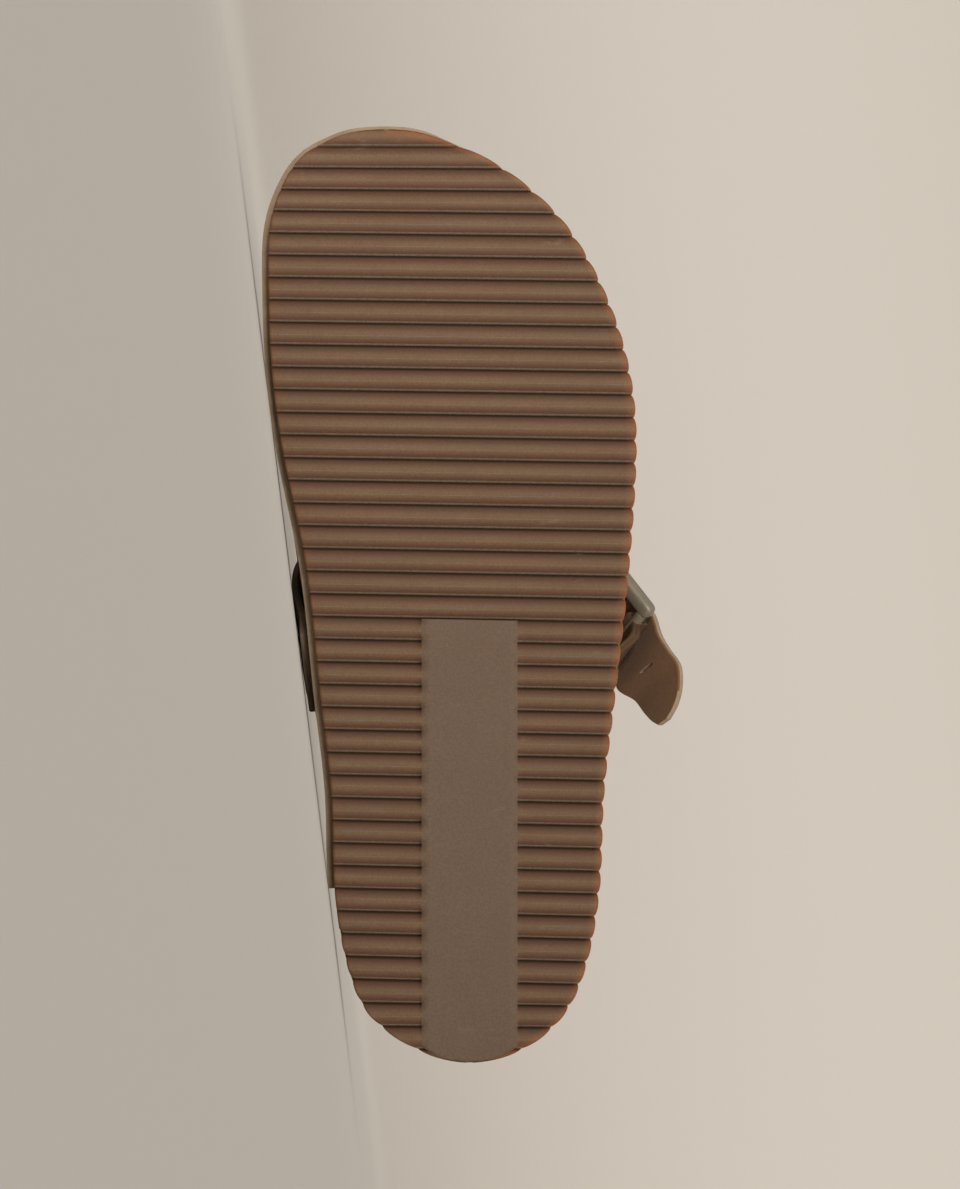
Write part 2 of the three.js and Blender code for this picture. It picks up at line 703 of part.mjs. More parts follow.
// Cross line of the strap: its middle, half its width as a vector, and the way out of its face
function strapOnUpper() {
  const centres = STRAP_PATH.map(({ turn, at }) => onUpper(at * SOLE_LENGTH, turn));
  return centres.map(({ point, normal }, i) => {
    const before = centres[Math.max(i - 1, 0)].point;
    const after = centres[Math.min(i + 1, centres.length - 1)].point;
    const half = after.clone().sub(before).cross(normal).setLength(STRAP_WIDTH / 2);
    return { middle: point, half, out: normal, worn: true };
  });
}

// Under the far bar, up through the frame and over the hinge bar
function strapInBuckle() {
  const up = new THREE.Vector3().setFromMatrixColumn(BUCKLE, 1);
  const out = new THREE.Vector3().setFromMatrixColumn(BUCKLE, 2);
  const half = new THREE.Vector3().setFromMatrixColumn(BUCKLE, 0).setLength(-STRAP_WIDTH / 2);
  const rows = [
    { along: 1, over: 0, tip: 0.1 },
    { along: 0.5, over: 0.07, tip: 0.35 },
    { along: 0, over: 0.36, tip: 0.7 },
    { along: -0.5, over: 0.82, tip: 0.6 },
    { along: -0.95, over: 1.03, tip: 0.1 },
  ];
  return rows.map(({ along, over, tip }) => {
    const height = THREE.MathUtils.lerp(PIECE_GAP, STRAP_OVER_BAR, over);
    const middle = new THREE.Vector3(0, along * BAR_PLACE, height).applyMatrix4(BUCKLE);
    return { middle, half: half.clone(), out: out.clone().addScaledVector(up, tip).normalize() };
  });
}

// Past the buckle the strap turns back towards the heel and leans out from the wall
function strapFreeEnd() {
  const bar = new THREE.Vector3(0, -BAR_PLACE, STRAP_OVER_BAR).applyMatrix4(BUCKLE);
  const heading = new THREE.Vector3(-0.85, 0.3, -0.4).normalize();
  return FREE_END.map(({ back, out, down, lean, wide }) => {
    const middle = bar.clone().add(new THREE.Vector3(-back, out, -down).multiplyScalar(STRAP_WIDTH));
    const angle = THREE.MathUtils.degToRad(lean);
    const half = new THREE.Vector3(0, Math.sin(angle), -Math.cos(angle));
    half.addScaledVector(heading, -half.dot(heading)).setLength((wide * STRAP_WIDTH) / 2);
    const face = new THREE.Vector3().crossVectors(half, heading).normalize();
    return { middle, half, out: face };
  });
}

function strapSolid() {
  const lines = [...strapOnUpper(), ...strapInBuckle(), ...strapFreeEnd()];
  const rings = lines.map(({ middle, half, out, worn }) => {
    const lower = [];
    const upper = [];
    for (const share of [-1, -0.5, 0, 0.5, 1]) {
      const point = middle.clone().addScaledVector(half, share);
      if (worn) {
        lower.push(liftedOver(point, PIECE_GAP));
        upper.push(liftedOver(point, PIECE_GAP + STRAP_THICKNESS));
      } else {
        lower.push(point);
        upper.push(point.clone().addScaledVector(out, STRAP_THICKNESS));
      }
    }
    return [...lower, ...upper.reverse()];
  });
  return toManifold(loft(rings));
}

// Rod between two points, with its ends pushed out by extra
function rod(from, to, radius, extra, sides = 12) {
  const axis = to.clone().sub(from);
  const geometry = new THREE.CylinderGeometry(radius, radius, axis.length() + 2 * extra, sides);
  const turn = new THREE.Quaternion().setFromUnitVectors(new THREE.Vector3(0, 1, 0), axis.normalize());
  const middle = from.clone().add(to).multiplyScalar(0.5);
  geometry.applyMatrix4(new THREE.Matrix4().compose(middle, turn, new THREE.Vector3(1, 1, 1)));
  return toManifold(geometry);
}

// Solid with a side outline in the buckle's y and z, as wide as depth along its bars
function barProfile(outline, depth) {
  const geometry = new THREE.ExtrudeGeometry(new THREE.Shape(outline), { depth, bevelEnabled: false });
  const turned = new THREE.Matrix4().makeBasis(
    new THREE.Vector3(0, 1, 0),
    new THREE.Vector3(0, 0, 1),
    new THREE.Vector3(1, 0, 0),
  );
  geometry.applyMatrix4(turned);
  geometry.translate(-depth / 2, 0, 0);
  return toManifold(geometry);
}

function circleOnBar(radius) {
  const circle = new THREE.Path();
  circle.absarc(-BAR_PLACE, HINGE_BAR_LIFT, radius, 0, 2 * Math.PI);
  return circle.getPoints(9);
}

function moved(solid, matrix) {
  const geometry = fromManifold(solid);
  geometry.applyMatrix4(matrix);
  return toManifold(geometry);
}

// Tail of the tab in the buckle's frame: along counts tab lengths below the hinge bar
const TAB_TAIL = [
  { along: 1, onWall: true },
  { along: 0.8, onWall: true },
  { along: 0.6, onWall: true },
  { along: 0.28, lift: 0.46, lean: 40 },
  { along: 0.04, lift: 0.93, lean: 48 },
];

function tabTail() {
  const doubled = 2 * TAB_THICKNESS;
  const rings = TAB_TAIL.map(({ along, onWall, lift = 0, lean = 0 }) => {
    const y = -BAR_PLACE - along * TAB_LENGTH;
    const angle = THREE.MathUtils.degToRad(lean);
    const [backward, outward] = [Math.sin(angle) * doubled * 0.5, Math.cos(angle) * doubled * 0.5];
    const lower = [];
    const upper = [];
    for (const share of [-0.5, -0.25, 0, 0.25, 0.5]) {
      const point = new THREE.Vector3(share * TAB_WIDTH, y, lift * HINGE_BAR_LIFT);
      if (onWall) {
        lower.push(liftedOver(point.clone().applyMatrix4(BUCKLE), PIECE_GAP));
        upper.push(liftedOver(point.clone().applyMatrix4(BUCKLE), PIECE_GAP + doubled));
      } else {
        const half = new THREE.Vector3(0, -backward, outward);
        lower.push(point.clone().sub(half).applyMatrix4(BUCKLE));
        upper.push(point.clone().add(half).applyMatrix4(BUCKLE));
      }
    }
    return [...lower, ...upper.reverse()];
  });
  return toManifold(loft(rings));
}

// Leather tab: a loop round the hinge bar with a slot for the pin, and its doubled tail
function tabGeometry() {
  const inner = HINGE_BAR_DIAMETER / 2 + PIECE_GAP;
  const outer = inner + TAB_THICKNESS;
  const slot = new THREE.BoxGeometry(TAB_SLOT, 2.4 * outer, 3 * outer);
  slot.translate(0, -BAR_PLACE + 0.2 * outer, HINGE_BAR_LIFT);
  const loop = moved(barProfile(circleOnBar(outer), TAB_WIDTH), BUCKLE);
  const bore = moved(barProfile(circleOnBar(inner), 2 * TAB_WIDTH), BUCKLE);
  const cut = moved(toManifold(slot), BUCKLE);
  const tab = loop.add(tabTail()).subtract(bore).subtract(cut);
  return fromManifold(tab.subtract(upperSolid(PIECE_GAP * 0.8, 0)));
}

// Frame of the buckle: three chunky sides, the fourth open but for the thin hinge bar
function frameSolid() {
  const [w, l, r] = [BUCKLE_WIDTH / 2, BUCKLE_LENGTH / 2, BUCKLE_CORNER];
  const shape = new THREE.Shape();
  shape.absarc(w - r, l - r, r, 0, Math.PI / 2);
  shape.absarc(-w + r, l - r, r, Math.PI / 2, Math.PI);
  shape.absarc(-w + r, -l + r, r, Math.PI, Math.PI * 1.5);
  shape.absarc(w - r, -l + r, r, Math.PI * 1.5, Math.PI * 2);
  const bevel = 0.9;
  const geometry = new THREE.ExtrudeGeometry(shape, {
    depth: BUCKLE_THICKNESS - 2 * bevel,
    bevelEnabled: true,
    bevelThickness: bevel,
    bevelSize: bevel,
    bevelOffset: -bevel,
    bevelSegments: 2,
    curveSegments: 6,
  });
  geometry.translate(0, 0, bevel - BUCKLE_THICKNESS / 2);
  const window = new THREE.BoxGeometry(2 * w - 2 * BUCKLE_BAR, 2 * l, 2 * BUCKLE_THICKNESS);
  window.translate(0, -BUCKLE_BAR, 0);
  const bar = rod(
    new THREE.Vector3(-w + BUCKLE_BAR * 0.5, -BAR_PLACE, 0),
    new THREE.Vector3(w - BUCKLE_BAR * 0.5, -BAR_PLACE, 0),
    HINGE_BAR_DIAMETER / 2,
    0,
  );
  const tilt = new THREE.Matrix4().makeRotationX(-TIP_ANGLE);
  const middle = (HINGE_BAR_LIFT + FAR_BAR_LIFT) / 2;
  tilt.setPosition(0, 0, middle);
  return moved(moved(toManifold(geometry).subtract(toManifold(window)).add(bar), tilt), BUCKLE);
}

function pinLine() {
  const start = new THREE.Vector3(0, -BAR_PLACE, HINGE_BAR_LIFT + HINGE_BAR_DIAMETER / 2 + PIECE_GAP);
  const rest = FAR_BAR_LIFT + BUCKLE_THICKNESS / 2 + PIECE_GAP + PIN_WIDTH / 2;
  return [start, new THREE.Vector3(0, BAR_PLACE + BUCKLE_BAR * 0.3, rest)];
}

function pinSolid() {
  const inner = HINGE_BAR_DIAMETER / 2 + PIECE_GAP;
  const half = PIN_WIDTH / 2;
  const [start, end] = pinLine();
  const flat = (p, rise) => new THREE.Vector2(p.y, p.z + rise);
  const arm = [flat(start, 0), flat(end, -half * 0.6), flat(end, half * 0.6), flat(start, half)];
  const ring = barProfile(circleOnBar(inner + half), PIN_WIDTH).add(barProfile(arm, PIN_WIDTH));
  return moved(ring.subtract(barProfile(circleOnBar(inner), 2 * PIN_WIDTH)), BUCKLE);
}

// Rivets through the inner end of the strap: turn and place as on the strap's path
const RIVETS = [
  { name: "rivet_upper", turn: -0.86, at: 0.471 },
  { name: "rivet_lower", turn: -1.04, at: 0.436 },
];

function rivetRod({ turn, at }, radius, foot, head) {
  const { point, normal } = onUpper(at * SOLE_LENGTH, turn);
  const from = point.clone().addScaledVector(normal, foot);
  const to = point.clone().addScaledVector(normal, head);
  return rod(from, to, radius, 0, 16);
}

const STRAP_FACE = PIECE_GAP + STRAP_THICKNESS;

function rivetSolid(rivet) {
  const foot = STRAP_FACE - RIVET_SINK + SEAT_GAP;
  return rivetRod(rivet, RIVET_DIAMETER / 2, foot, foot + RIVET_HEAD);
}

// The strap with a seat for each rivet and a hole for the pin
function strapGeometry() {
  let strap = strapSolid().subtract(upperSolid(PIECE_GAP * 0.8, 0));
  for (const rivet of RIVETS) {
    const seat = rivetRod(rivet, RIVET_DIAMETER / 2 + SEAT_GAP, STRAP_FACE - RIVET_SINK, 3 * STRAP_FACE);
    strap = strap.subtract(seat);
  }
  const [start, end] = pinLine().map((p) => p.applyMatrix4(BUCKLE));
  const hole = rod(start, end, PIN_WIDTH / 2 + 2 * PIECE_GAP, 0);
  return fromManifold(strap.subtract(hole));
}

function material(color, roughness, metalness = 0) {
  return new THREE.MeshStandardMaterial({ color, roughness, metalness });
}

const SUEDE = material(0x66584a, 0.95);

function buildPieces() {
  const rivetMetal = material(0x3b342c, 0.5, 0.8);
  const buckleMetal = material(0x6e6553, 0.55, 0.6);
  return [
    { name: "outsole", geometry: outsoleGeometry(), finish: material(0x705a44, 0.6), density: RUBBER },
    { name: "midsole", geometry: midsoleGeometry(), finish: material(0x7a5a3c, 0.9), density: CORK },
    { name: "insole", geometry: insoleGeometry(), finish: material(0x8a745c, 0.95), density: LEATHER },
    { name: "upper", geometry: upperGeometry(), finish: SUEDE, density: LEATHER },
    { name: "strap", geometry: strapGeometry(), finish: SUEDE, density: LEATHER },
    { name: "buckle_tab", geometry: tabGeometry(), finish: SUEDE, density: LEATHER },
    { name: "buckle_frame", geometry: fromManifold(frameSolid()), finish: buckleMetal, density: METAL },
    { name: "buckle_pin", geometry: fromManifold(pinSolid()), finish: buckleMetal, density: METAL },
    ...RIVETS.map((rivet) => ({
      name: rivet.name,
      geometry: fromManifold(rivetSolid(rivet)),
      finish: rivetMetal,
      density: METAL,
    })),
  ];
}

function balancePoint(pieces) {
  const sum = new THREE.Vector3();
  let mass = 0;
  for (const { geometry, density } of pieces) {
    eachTetrahedron(geometry, (volume, centre) => {
      sum.addScaledVector(centre, volume * density);
      mass += volume * density;
    });
  }
  return sum.divideScalar(mass);
}

// Way down to the face of the hull that lies under the balance point on the inner side: the
// plane under all points that is nearest to the balance point along the side direction
function lyingDirection(pieces) {
  const balance = balancePoint(pieces);
  const spots = [];
  for (const { geometry } of pieces) {
    const position = geometry.attributes.position;
    for (let i = 0; i < position.count; i += 1) {
      const spot = new THREE.Vector3().fromBufferAttribute(position, i).sub(balance);
      if (spot.y < 0) {
        spots.push(spot);
      }
    }
  }
  const reach = (a, b) => Math.max(...spots.map((p) => a * p.x - p.y + b * p.z));
  let best = { a: 0, b: 0, height: reach(0, 0) };
  for (let step = 0.1; step > 1e-6; step /= 2) {
    for (let moving = true; moving; ) {
      const around = [[1, 0], [-1, 0], [0, 1], [0, -1], [1, 1], [-1, -1], [1, -1], [-1, 1]];
      const next = around
        .map(([i, j]) => ({ a: best.a + i * step, b: best.b + j * step }))
        .map(({ a, b }) => ({ a, b, height: reach(a, b) }))
        .reduce((one, other) => (other.height < one.height ? other : one));
      moving = next.height < best.height;
      best = moving ? next : best;
    }
  }
  return new THREE.Vector3(best.a, -1, best.b).normalize();
}

// Lays the shoe on its inner side, toe towards -x, the tread facing -y, centred on the floor
function lieDown(group, pieces) {
  const up = lyingDirection(pieces).negate();
  const front = new THREE.Vector3(0, 0, 1);
  front.addScaledVector(up, -front.dot(up)).normalize();
  const right = new THREE.Vector3().crossVectors(front, up);
  const turn = new THREE.Matrix4().makeBasis(right, front, up).transpose();
  group.quaternion.setFromRotationMatrix(turn);
  group.updateMatrixWorld(true);
  const box = new THREE.Box3().setFromObject(group, true);
  const middle = box.getCenter(new THREE.Vector3());
  group.position.set(-middle.x, -middle.y, -box.min.z);
}

const pieces = buildPieces();
const shoe = new THREE.Group();
for (const { name, geometry, finish } of pieces) {
  const mesh = new THREE.Mesh(geometry, finish);
  mesh.name = name;
  shoe.add(mesh);
}
lieDown(shoe, pieces);

const clog = new THREE.Group();
clog.add(shoe);

export default clog;
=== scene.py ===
"""A closed suede clog for the left foot, lying on its inner side so that its ribbed sole shows.

Shapes are worked out in millimetres in the shoe's own frame: x runs from the heel to the toe, y to
the outer side, z up from the rib crests. to_floor() then lays them on the floor, in metres.
"""

import functools
import json
import math

import bmesh
import bpy
import numpy as np
from mathutils import Matrix, Vector
from mathutils.kdtree import KDTree


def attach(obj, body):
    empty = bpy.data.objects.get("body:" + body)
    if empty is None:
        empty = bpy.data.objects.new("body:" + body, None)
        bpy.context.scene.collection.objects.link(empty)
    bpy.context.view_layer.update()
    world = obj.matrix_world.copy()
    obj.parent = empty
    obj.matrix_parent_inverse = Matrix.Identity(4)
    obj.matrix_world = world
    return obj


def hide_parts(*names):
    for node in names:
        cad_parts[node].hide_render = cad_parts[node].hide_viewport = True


bl_info = {
    "name": "Suede clog",
    "version": (1, 0, 0),
    "blender": (4, 5, 0),
    "location": "3D View > Sidebar > Clog",
    "description": "Builds a suede clog with a ribbed gum sole, a cork footbed and a buckled strap",
    "category": "Object",
}

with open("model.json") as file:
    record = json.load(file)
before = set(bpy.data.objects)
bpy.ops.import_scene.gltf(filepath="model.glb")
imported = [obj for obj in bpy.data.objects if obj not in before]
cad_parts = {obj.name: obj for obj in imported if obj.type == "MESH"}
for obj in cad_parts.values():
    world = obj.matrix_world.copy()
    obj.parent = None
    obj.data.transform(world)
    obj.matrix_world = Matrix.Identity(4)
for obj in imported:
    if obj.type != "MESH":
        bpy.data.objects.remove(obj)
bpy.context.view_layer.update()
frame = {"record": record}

# Sole, in millimetres
SOLE_LENGTH = 270.0
SOLE_WIDTH = 107.6
OUTSOLE_THICKNESS = 5.7
TOE_SPRING = 9.0
TOE_SPRING_START = 0.7
HEEL_RISE = 2.0
HEEL_RISE_LENGTH = 25.0
SEAT_GAP = 0.3
OUTER_INSET = 2.3
INSET_BLEND = 0.5

# Tread
RIB_COUNT = 40
HEEL_RIM = 3.9
TOE_RIM = 5.0
RIB_SLANT_HEEL = math.radians(1.6)
RIB_SLANT_TOE = math.radians(0.5)
INNER_SCALLOP_END = 0.14
PANEL_WIDTH = 27.3
PANEL_RIBS = 19
PANEL_DRAFT = 0.5
RIB_PITCH = (SOLE_LENGTH - HEEL_RIM - TOE_RIM) / RIB_COUNT
LAST_TROUGH = SOLE_LENGTH - TOE_RIM
PANEL_FRONT = HEEL_RIM + PANEL_RIBS * RIB_PITCH

# Footbed and sock
FOOTBED_BALL = 17.0
FOOTBED_HEEL = 24.0
RIM_BALL = 23.0
RIM_HEEL = 34.0
RIM_WIDTH = 3.6
RIM_MARGIN = 0.6
SOCK_THICKNESS = 1.5

# Upper
UPPER_WALL = 1.8
UPPER_LOWER_EDGE = 9.0
INSTEP_HEIGHT = 84.0
WALL_OVER_RIM = 1.0
TOE_SLOPE = 0.2
SPINE_FRONT = 0.796
UPPER_END = 0.184

# Strap and buckle
STRAP_WIDTH = 26.0
STRAP_THICKNESS = 2.2
PIECE_GAP = 0.4
RIVET_DIAMETER = 7.5
RIVET_HEAD = 0.9
RIVET_SINK = 1.5
BUCKLE_WIDTH = 38.0
BUCKLE_LENGTH = 30.0
BUCKLE_BAR = 5.0
BUCKLE_THICKNESS = 4.4
BUCKLE_CORNER = 6.0
HINGE_BAR_DIAMETER = 3.6
PIN_WIDTH = 2.8
TAB_WIDTH = 22.0
TAB_THICKNESS = 1.5
TAB_LENGTH = 20.0
TAB_SLOT = 4.4
FAR_BAR_LIFT = 5.4
HINGE_BAR_LIFT = 9.0
BAR_PLACE = (BUCKLE_LENGTH - BUCKLE_BAR) / 2
TIP_ANGLE = math.atan2(HINGE_BAR_LIFT - FAR_BAR_LIFT, 2 * BAR_PLACE)
STRAP_OVER_BAR = HINGE_BAR_LIFT + HINGE_BAR_DIAMETER / 2 + TAB_THICKNESS + 2 * PIECE_GAP

# Slope of the floor under the lying shoe, from heel to toe, and the place of the tread's mount,
# both in the shoe's own frame
FLOOR_SLOPE = -0.12215
MOUNT_PLACE = (75.0, 0.0, 0.0)

# Outline of the sole: shares of its length, and of its width to each side of the heel line
OUTLINE = [
    dict(at=0, inner=0, outer=0),
    dict(at=0.0133, inner=-0.139, outer=0.141),
    dict(at=0.0526, inner=-0.271, outer=0.256),
    dict(at=0.105, inner=-0.328, outer=0.314),
    dict(at=0.184, inner=-0.361, outer=0.349),
    dict(at=0.29, inner=-0.371, outer=0.362),
    dict(at=0.395, inner=-0.401, outer=0.392),
    dict(at=0.526, inner=-0.437, outer=0.428),
    dict(at=0.658, inner=-0.503, outer=0.448),
    dict(at=0.737, inner=-0.529, outer=0.431),
    dict(at=0.816, inner=-0.539, outer=0.372),
    dict(at=0.895, inner=-0.536, outer=0.263),
    dict(at=0.947, inner=-0.493, outer=0.131),
    dict(at=0.974, inner=-0.441, outer=0.023),
    dict(at=0.988, inner=-0.381, outer=-0.064),
    dict(at=0.9985, inner=-0.298, outer=-0.155),
    dict(at=1, inner=-0.223, outer=-0.223),
]

# Footbed: bed shares the way from ball height to heel height, arch lifts its inner side by a
# share of the heel height, rim shares the way from ball rim to heel rim
FOOTBED = [
    dict(at=0, bed=1.05, arch=0, rim=1),
    dict(at=0.16, bed=0.95, arch=0.02, rim=1),
    dict(at=0.3, bed=1, arch=0.1, rim=0.92),
    dict(at=0.42, bed=0.9, arch=0.2, rim=0.85),
    dict(at=0.55, bed=0.5, arch=0.14, rim=0.5),
    dict(at=0.68, bed=0.05, arch=0.03, rim=0.1),
    dict(at=0.8, bed=0.05, arch=0, rim=-0.02),
    dict(at=1, bed=0, arch=0, rim=-0.02),
]

# Upper: ridge height as a share of the instep height, ridge place and bulges of both walls as
# shares of the sole's width, and how square the section is (2 is an ellipse)
UPPER = [
    dict(at=0.1, ridge=1.05, across=-0.04, square=2.8, inner=0, outer=0),
    dict(at=0.28, ridge=1.05, across=-0.05, square=2.8, inner=0.012, outer=0),
    dict(at=0.4, ridge=1.05, across=-0.06, square=2.7, inner=0.022, outer=0),
    dict(at=0.5, ridge=1, across=-0.07, square=2.5, inner=0.026, outer=0.005),
    dict(at=0.58, ridge=0.935, across=-0.085, square=2.35, inner=0.018, outer=0.005),
    dict(at=0.66, ridge=0.835, across=-0.11, square=2.3, inner=0.005, outer=0),
    dict(at=0.74, ridge=0.745, across=-0.135, square=2.3, inner=0, outer=0),
    dict(at=0.796, ridge=0.695, across=-0.15, square=2.35, inner=0, outer=0),
    dict(at=1, ridge=0.695, across=-0.15, square=2.4, inner=0, outer=0),
]

# Collar seen from the side, from the end of the quarters up to the throat
COLLAR = [
    dict(at=0.184, up=0.256),
    dict(at=0.19, up=0.32),
    dict(at=0.215, up=0.355),
    dict(at=0.259, up=0.39),
    dict(at=0.3, up=0.45),
    dict(at=0.333, up=0.535),
    dict(at=0.37, up=0.64),
    dict(at=0.415, up=0.775),
    dict(at=0.46, up=0.895),
    dict(at=0.49, up=0.965),
    dict(at=0.51, up=1.03),
]

# Middle of the strap on the upper: turn is -1 at the inner wall's foot, 0 on the ridge and 1 at
# the outer wall's foot
STRAP_PATH = [
    dict(turn=-1.44, at=0.415),
    dict(turn=-1.2, at=0.426),
    dict(turn=-1, at=0.439),
    dict(turn=-0.86, at=0.471),
    dict(turn=-0.7, at=0.497),
    dict(turn=-0.52, at=0.522),
    dict(turn=-0.34, at=0.545),
    dict(turn=-0.15, at=0.559),
    dict(turn=0, at=0.563),
    dict(turn=0.12, at=0.559),
    dict(turn=0.24, at=0.543),
]

BUCKLE_PLACE = dict(turn=0.54, at=0.478)

# The strap through the buckle: along runs from the far bar (1) to the hinge bar (-1), over is
# its height between wall and hinge bar, tip leans its face up the strap
STRAP_IN_BUCKLE = [
    dict(along=1, over=0, tip=0.1),
    dict(along=0.5, over=0.07, tip=0.35),
    dict(along=0, over=0.36, tip=0.7),
    dict(along=-0.5, over=0.82, tip=0.6),
    dict(along=-0.95, over=1.03, tip=0.1),
]

# Free end of the strap past the buckle, in strap widths from the hinge bar; lean turns its
# width outwards, in degrees, and wide is its share of the strap's width
FREE_END = [
    dict(back=0.173, out=0.07, down=0.12, lean=34, wide=1),
    dict(back=0.335, out=0.13, down=0.26, lean=38, wide=1),
    dict(back=0.488, out=0.281, down=0.438, lean=40, wide=0.84),
    dict(back=0.677, out=0.335, down=0.592, lean=44, wide=0.62),
    dict(back=0.819, out=0.35, down=0.688, lean=46, wide=0.4),
    dict(back=0.931, out=0.342, down=0.746, lean=45, wide=0.14),
]

# The slit in the free end: which row and spot of the finished strap it is cut at, its size in
# millimetres and how far it is turned from square across the strap, in degrees
SLIT = dict(row=154, spot=22, long=6.0, wide=0.9, turn=0)

RIVETS = [
    dict(name="rivet_upper", turn=-0.86, at=0.471),
    dict(name="rivet_lower", turn=-1.04, at=0.436),
]

# Creases of the vamp and quarters, as a person's step folds them: where each runs, in shares of
# the sole's length and in turns, its half width and depth in millimetres
CREASES = [
    dict(at=0.655, lean=0.05, start=-0.75, end=0.1, width=4.0, depth=0.7),
    dict(at=0.7, lean=0.04, start=-0.62, end=0.3, width=5.0, depth=-0.5),
    dict(at=0.725, lean=0.03, start=-0.8, end=-0.05, width=4.0, depth=0.6),
    dict(at=0.69, lean=-0.05, start=0.1, end=0.82, width=4.5, depth=0.6),
    dict(at=0.63, lean=-0.06, start=0.35, end=0.85, width=5.0, depth=0.5),
    dict(at=0.4, lean=0.12, start=-0.95, end=-0.55, width=6.0, depth=0.5),
    dict(at=0.33, lean=-0.1, start=0.6, end=1.1, width=6.0, depth=0.5),
]


def smooth_column(rows, column, warp=lambda share: share):
    """Smooth curve through one column of a table; warp spreads the rows before it is drawn."""
    xs = warp(np.array([row["at"] for row in rows], float))
    ys = np.array([row[column] for row in rows], float)
    order = np.arange(len(xs))
    before = np.maximum(order - 1, 0)
    after = np.minimum(order + 1, len(xs) - 1)
    slope = (ys[after] - ys[before]) / (xs[after] - xs[before])

    def value(share):
        x = np.clip(warp(np.asarray(share, float)), xs[0], xs[-1])
        i = np.clip(np.searchsorted(xs, x), 1, len(xs) - 1)
        width = xs[i] - xs[i - 1]
        t = (x - xs[i - 1]) / width
        rise = (ys[i] - ys[i - 1]) / width
        bend0 = t * (1 - t) ** 2 * width * (slope[i - 1] - rise)
        bend1 = t * t * (t - 1) * width * (slope[i] - rise)
        return ys[i - 1] + (ys[i] - ys[i - 1]) * t + bend0 + bend1

    return value


def round_ends(share):
    """Angle on a half circle, so that the outline closes squarely at both tips."""
    return np.arccos(1 - 2 * np.clip(share, 0, 1))


def share_of_turn(angle):
    return (1 - np.cos(angle)) / 2


outline_inner = smooth_column(OUTLINE, "inner", round_ends)
outline_outer = smooth_column(OUTLINE, "outer", round_ends)
bed_share = smooth_column(FOOTBED, "bed")
arch_share = smooth_column(FOOTBED, "arch")
rim_share = smooth_column(FOOTBED, "rim")
ridge_share = smooth_column(UPPER, "ridge")
across_share = smooth_column(UPPER, "across")
squareness = smooth_column(UPPER, "square")
inner_bulge = smooth_column(UPPER, "inner")
outer_bulge = smooth_column(UPPER, "outer")
collar_share = smooth_column(COLLAR, "up")


def ground_lift(x):
    """Height of the rib crests over the plane that heel and forefoot share."""
    toe = np.maximum(x / SOLE_LENGTH - TOE_SPRING_START, 0) / (1 - TOE_SPRING_START)
    heel = np.maximum(HEEL_RISE_LENGTH - x, 0) / HEEL_RISE_LENGTH
    return TOE_SPRING * np.minimum(toe, 1.03) ** 1.8 + HEEL_RISE * np.minimum(heel, 1.1) ** 2


def edge(x, side, inset=0.0):
    """Edge of the outline on one side (-1 inner, 1 outer), drawn in by inset all round."""
    stretched = (x - SOLE_LENGTH / 2) * (SOLE_LENGTH / (SOLE_LENGTH - 2 * inset))
    share = stretched / SOLE_LENGTH + 0.5
    reach = np.where(np.asarray(side) < 0, outline_inner(share), outline_outer(share))
    return reach * (SOLE_WIDTH - 2 * inset)


def outline_point(angle, side, offset):
    """Point on the outline pushed outwards by offset, at an angle of the half circle."""
    step = 0.004

    def plain(a):
        x = share_of_turn(a) * SOLE_LENGTH
        return x, edge(x, side)

    low_x, low_y = plain(np.maximum(angle - step, 0))
    high_x, high_y = plain(np.minimum(angle + step, math.pi))
    along_x, along_y = high_x - low_x, high_y - low_y
    length = np.hypot(along_x, along_y)
    x, y = plain(angle)
    return x - side * along_y / length * offset, y + side * along_x / length * offset


def soft_step(share):
    share = np.clip(share, 0, 1)
    return share * share * (3 - 2 * share)


def side_inset(angle, side):
    """How far footbed and upper stand in from the sole's outer edge; nothing at both tips."""
    both = soft_step(angle / INSET_BLEND) * soft_step((math.pi - angle) / INSET_BLEND)
    return np.where(np.asarray(side) < 0, 0, OUTER_INSET * both)


def angle_where(x, side, offset):
    """Angle at which the outline, pushed outwards by offset, reaches x."""
    low = np.zeros_like(np.asarray(x, float))
    high = np.full_like(low, math.pi)
    for _ in range(40):
        middle = (low + high) / 2
        too_low = outline_point(middle, side, offset - side_inset(middle, side))[0] < x
        low = np.where(too_low, middle, low)
        high = np.where(too_low, high, middle)
    return low


@functools.cache
def footbed_edge(x, side):
    angle = angle_where(x, side, 0.0)
    return outline_point(angle, side, -side_inset(angle, side))[1]


def rim_height(x):
    return RIM_BALL + (RIM_HEEL - RIM_BALL) * rim_share(x / SOLE_LENGTH) + ground_lift(x)


def bed_height(x, across):
    """Height of the footbed: across is -1 at the inner rim, 0 in the middle, 1 at the outer rim."""
    share = x / SOLE_LENGTH
    middle = FOOTBED_BALL + (FOOTBED_HEEL - FOOTBED_BALL) * bed_share(share) + ground_lift(x)
    arch = np.maximum(-across, 0) * arch_share(share) * FOOTBED_HEEL
    cup = (rim_height(x) - middle) * np.abs(across) ** 6
    return np.minimum(middle + arch + cup, rim_height(x))


